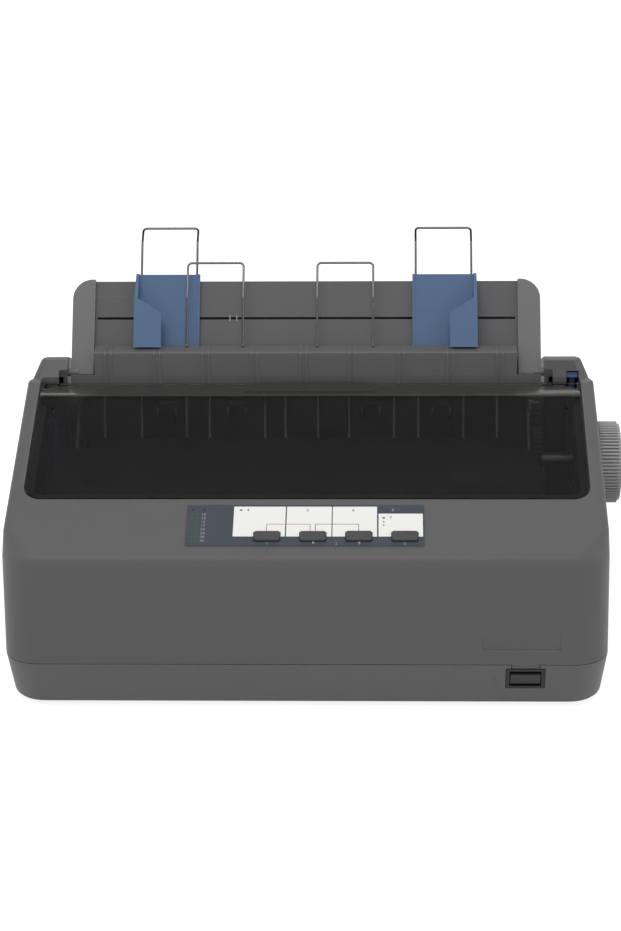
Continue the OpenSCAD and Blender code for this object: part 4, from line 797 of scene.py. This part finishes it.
def add_bar(bm, x0, x1, u0, u1, off=FILM_TOP):
    """A printed bar between two places across the deck and two up it."""
    place = on_deck((x0 + x1) / 2, (u0 + u1) / 2, off + BAR_T / 2)
    size = Matrix.Diagonal(((x1 - x0) * MM, (u1 - u0) * MM, BAR_T * MM, 1))
    bmesh.ops.create_cube(bm, size=1.0, matrix=place @ size)


def add_dot(bm, x, u, radius, off=FILM_TOP, sides=20, turn=0.0):
    """A printed dot, or with 3 sides an arrow's head."""
    bmesh.ops.create_cone(bm, cap_ends=True, segments=sides, radius1=radius * MM, radius2=radius * MM,
                          depth=DOT_T * MM,
                          matrix=on_deck(x, u, off + DOT_T / 2) @ Matrix.Rotation(turn, 4, "Z"))


def film_piece(bm, name, material):
    """One print colour of the panel, as a piece that rides on the case."""
    ob = finished_piece(bm, name, material, "case", 30)
    print(name, len(ob.data.polygons), "faces")


# %% White fields round the buttons
BUTTON_X = [-21.7 + 26.4 * i for i in range(4)]
ROUND = 0.5             # bare film round a button
FIELD_U = 18.7          # lower edge of the white fields
# left, right and upper edge of each field
FIELDS = ((-41.4, -11.4, 43.4), (-10.7, 15.3, 43.4), (15.9, 41.5, 43.4), (42.4, 67.9, 37.6))
bm = bmesh.new()
for button_x, (x0, x1, u1) in zip(BUTTON_X, FIELDS):
    left = button_x - BUTTON_HALF_W - ROUND
    right = button_x + BUTTON_HALF_W + ROUND
    add_bar(bm, x0, x1, BUTTON_REAR_U + ROUND, u1)
    add_bar(bm, x0, left, FIELD_U, BUTTON_REAR_U + ROUND)
    if right < x1:
        add_bar(bm, right, x1, FIELD_U, BUTTON_REAR_U + ROUND)
film_piece(bm, "panel_white_fields", "white")

# %% Lines that join the functions of two buttons
LINE_OFF = FILM_TOP + BAR_T
LINE_U = 28.6
LINE_W = 0.4
# name, left end, right end and ink of each line
LINES = (("panel_red_line", -22.2, 3.2, "ink_red"), ("panel_blue_line", 5.8, 31.2, "ink_blue"))
for name, x0, x1, ink in LINES:
    bm = bmesh.new()
    add_bar(bm, x0, x1, LINE_U, LINE_U + LINE_W, LINE_OFF)
    add_bar(bm, x0, x0 + LINE_W, BUTTON_REAR_U + ROUND, LINE_U, LINE_OFF)
    add_bar(bm, x1 - LINE_W, x1, BUTTON_REAR_U + ROUND, LINE_U, LINE_OFF)
    film_piece(bm, name, ink)

# %% Lamps and small marks
ROWS = [15.1 + 3.1 * row for row in range(8)]
bm = bmesh.new()
for u in ROWS:
    for x in (-65.5, -62.6):
        add_dot(bm, x, u, 0.62)
film_piece(bm, "panel_pitch_lamps", "lamp_green")
bm = bmesh.new()
for x in (-65.2, -58.8):
    add_bar(bm, x - 0.9, x + 0.9, 40.0, 41.4)
film_piece(bm, "panel_header_squares", "ink_header")
bm = bmesh.new()
add_dot(bm, 45.3, 30.7, 0.65, LINE_OFF)
add_dot(bm, 45.3, 27.9, 0.65, LINE_OFF)
film_piece(bm, "panel_paper_lamps", "lamp_amber")
bm = bmesh.new()
add_bar(bm, -38.2, -36.6, 40.0, 41.0, LINE_OFF)
add_bar(bm, 44.6, 46.1, 33.5, 34.6, LINE_OFF)
film_piece(bm, "panel_lamp_marks", "ink_dark")

# %% Arrows
bm = bmesh.new()
add_dot(bm, 5.0, 13.6, 1.1, sides=3, turn=radians(-90))
add_bar(bm, 4.7, 5.3, 13.6, 15.1)
add_dot(bm, 31.4, 13.9, 1.1, sides=3, turn=radians(90))
add_bar(bm, 31.1, 31.7, 12.4, 13.9)
film_piece(bm, "panel_arrows", "ink_pale")


# %% Numbers
SIZE_PER_HEIGHT = 1.38  # text size over the height of its figures
HALF_FIGURE_T = 0.02    # half a printed figure's thickness


def add_number(bm, text, x, u, height, off):
    """Flat figures on the deck: a text object made a mesh at the origin, then laid in place."""
    words = bpy.data.curves.new("number", "FONT")
    words.body = text
    words.size = height * SIZE_PER_HEIGHT * MM
    words.extrude = HALF_FIGURE_T * MM
    words.resolution_u = 3
    words.align_y = "CENTER"
    helper = bpy.data.objects.new("number", words)
    scene.collection.objects.link(helper)
    flat = bpy.data.meshes.new_from_object(helper.evaluated_get(bpy.context.evaluated_depsgraph_get()))
    flat.transform(on_deck(x, u, off + HALF_FIGURE_T))
    bm.from_mesh(flat)
    bpy.data.objects.remove(helper)
    bpy.data.meshes.remove(flat)


bm = bmesh.new()
for u, pitch_number in zip(ROWS, ("40", "30", "24", "20", "17", "15", "12", "10")):
    add_number(bm, pitch_number, -60.2, u, 1.9, FILM_TOP)
for text, x in (("1", -22.2), ("2", 17.6), ("3", 56.6)):
    add_number(bm, text, x, 12.9, 2.0, FILM_TOP)
add_number(bm, "8", 50.0, 40.6, 2.0, FILM_TOP)
film_piece(bm, "panel_pale_numbers", "ink_pale")
bm = bmesh.new()
for text, x, u in (("4", -34.0, 40.4), ("5", 0.6, 40.4), ("6", 27.0, 40.4), ("7", 48.6, 34.2)):
    add_number(bm, text, x, u, 2.2, LINE_OFF)
film_piece(bm, "panel_dark_numbers", "ink_dark")

# %% [markdown]
# ## Small fittings
# Plain boxes and pins finish what the solids only outline: the channel behind the paper guide's
# slot, the webs at its feet, the trim behind the cover's hinge, the cheeks beside the tongue over
# the power switch, and the contacts in the sockets at the back. Each is a bmesh cube, cone or
# ring put in place by one matrix.

# %% Blocks, and the channel behind the paper guide's slot
def add_block(bm, place, size, turn=Matrix()):
    """A cube of size mm with its middle at a place in metres, turned by a matrix."""
    scale = Matrix.Diagonal((size[0] * MM, size[1] * MM, size[2] * MM, 1))
    bmesh.ops.create_cube(bm, size=1.0, matrix=Matrix.Translation(place) @ turn @ scale)


def fitting(bm, name, material, body, width=0.0, smooth_angle=32):
    """A small piece, with soft edges where a width in millimetres is given."""
    ob = finished_piece(bm, name, material, body, smooth_angle)
    if width:
        soften(ob, width)
    print(name, len(ob.data.polygons), "faces")
    return ob


GUIDE_TURN = Matrix.Rotation(GUIDE_ANGLE, 4, "X")
CHANNEL_L, CHANNEL_W = 262.0, 13.2
WALL_T = 1.0
bm = bmesh.new()
add_block(bm, guide_place(GUIDE_MID_X, SLOT_U, -8.5), (CHANNEL_L, CHANNEL_W, 0.9), GUIDE_TURN)
for side in (-1, 1):
    wall_u = SLOT_U + side * (CHANNEL_W - WALL_T) / 2
    add_block(bm, guide_place(GUIDE_MID_X, wall_u, -6.6), (CHANNEL_L, WALL_T, 3.0), GUIDE_TURN)
channel = fitting(bm, "guide_channel", "guide", "guide", 0.2)

# %% Webs at the feet of the guide's columns
bm = bmesh.new()
for side in (-1, 1):
    web_x = GUIDE_MID_X + side * (COLUMN_FROM - 1.6)
    add_block(bm, guide_place(web_x, 1.2, -4.0), (5.0, 6.8, 1.8), GUIDE_TURN)
webs = fitting(bm, "guide_foot_webs", "guide", "guide", 0.15)

# %% Trim behind the cover's hinge
TRIM_T = 1.6
# left, right, front and rear edge of each strip
TRIM = ((-155.3, 149.3, 155.9, 157.6), (-163.0, -155.9, 153.6, 155.2), (149.9, 157.0, 153.6, 155.2),
        (-155.3, -150.9, 157.4, 159.2), (144.9, 149.3, 157.4, 159.2))
bm = bmesh.new()
for x0, x1, y0, y1 in TRIM:
    place = at((x0 + x1) / 2, (y0 + y1) / 2, STRIP_Z - TRIM_T / 2)
    add_block(bm, place, (x1 - x0, y1 - y0, TRIM_T))
trim = fitting(bm, "hinge_trim", "frost", "case", 0.15)

# %% Bare panel and setting marks on the paper guide
bm = bmesh.new()
add_block(bm, guide_place(-124.6, 42.9, -2.95), (18.8, 10.6, 0.2), GUIDE_TURN)
panel = fitting(bm, "guide_bare_panel", "guide", "guide", 0.08)
bm = bmesh.new()
for x in (-50.6, -46.3):
    add_block(bm, guide_place(x, SLOT_U, -2.97), (0.6, 3.6, 0.1), GUIDE_TURN)
marks = fitting(bm, "guide_marks", "ink_pale", "guide")

# %% Cheeks beside the tongue over the switch
TUMBLE = radians(10)    # lean of the lower case's front
PARTING_Z = 31.5        # where that front ends at its top
SWITCH_X = 127.3
FACE_TURN = Matrix.Rotation(TUMBLE, 4, "X")


def face_place(x, into, up):
    """A place on the lower case's leaning front: into the case, and up towards the parting line."""
    y = into * cos(TUMBLE) - up * sin(TUMBLE)
    z = PARTING_Z + into * sin(TUMBLE) + up * cos(TUMBLE)
    return at(x, y, z)


bm = bmesh.new()
for side in (-1, 1):
    add_block(bm, face_place(SWITCH_X + side * 9.9, 1.25, -1.9), (3.1, 2.3, 2.5), FACE_TURN)
cheeks = fitting(bm, "switch_cheeks", "case_base", "case", 0.15)

# %% Moulded ring beside the switch
RING_X, RING_UP = 109.6, -10.6
RING_R = 1.5
bm = bmesh.new()
start = Matrix.Translation(face_place(RING_X + RING_R, 0.0, RING_UP))
bmesh.ops.create_circle(bm, segments=10, radius=0.18 * MM, matrix=start)
bmesh.ops.spin(bm, geom=bm.edges[:] + bm.verts[:], cent=face_place(RING_X, 0.0, RING_UP),
               axis=FACE_TURN.to_3x3() @ Vector((0, 1, 0)), angle=2 * pi, steps=32,
               use_merge=True, use_duplicate=False)
bmesh.ops.recalc_face_normals(bm, faces=bm.faces)
ring = fitting(bm, "moulded_ring", "case_base", "case", smooth_angle=60)

# %% Contacts at the back
REAR_Z = 58.0           # middle height of the inlet and the sockets
WIDE_X, PLUG_X, SMALL_X = 96.0, 42.0, 8.0   # the wide socket, the one with pins and the small one
WIDE_COUNT, WIDE_PITCH = 18, 2.16
PIN_PITCH = 2.77
bm = bmesh.new()
for x, z in ((-125.0, -1.0), (-111.0, -1.0), (-118.0, 2.6)):
    add_block(bm, at(x, 264.5, REAR_Z + z), (2.0, 11.0, 4.0))
pins = fitting(bm, "inlet_pins", "steel", "case", 0.4)

bm = bmesh.new()
add_block(bm, at(WIDE_X, 269.0, REAR_Z), (44.0, 6.4, 4.4))
add_block(bm, at(PLUG_X, 267.2, REAR_Z), (26.0, 2.6, 8.4))
add_block(bm, at(SMALL_X, 269.0, REAR_Z), (5.6, 6.4, 3.2))
inserts = fitting(bm, "socket_inserts", "switch", "case", 0.25)

bm = bmesh.new()
for i in range(WIDE_COUNT):
    x = WIDE_X + (i - (WIDE_COUNT - 1) / 2) * WIDE_PITCH
    for side in (-1, 1):
        add_block(bm, at(x, 269.4, REAR_Z + side * 2.3), (0.9, 5.2, 0.3))
for up, count in ((1.4, 5), (-1.4, 4)):
    for i in range(count):
        place = Matrix.Translation(at(PLUG_X + (i - (count - 1) / 2) * PIN_PITCH, 270.4, REAR_Z + up))
        bmesh.ops.create_cone(bm, cap_ends=True, segments=12, radius1=0.5 * MM, radius2=0.4 * MM,
                              depth=4.6 * MM, matrix=place @ Matrix.Rotation(-pi / 2, 4, "X"))
for side in (-1, 1):
    for lane in (-1.1, 1.1):
        add_block(bm, at(SMALL_X + lane, 269.6, REAR_Z + side * 1.7), (1.0, 5.0, 0.2))
contacts = fitting(bm, "socket_contacts", "contact", "case")
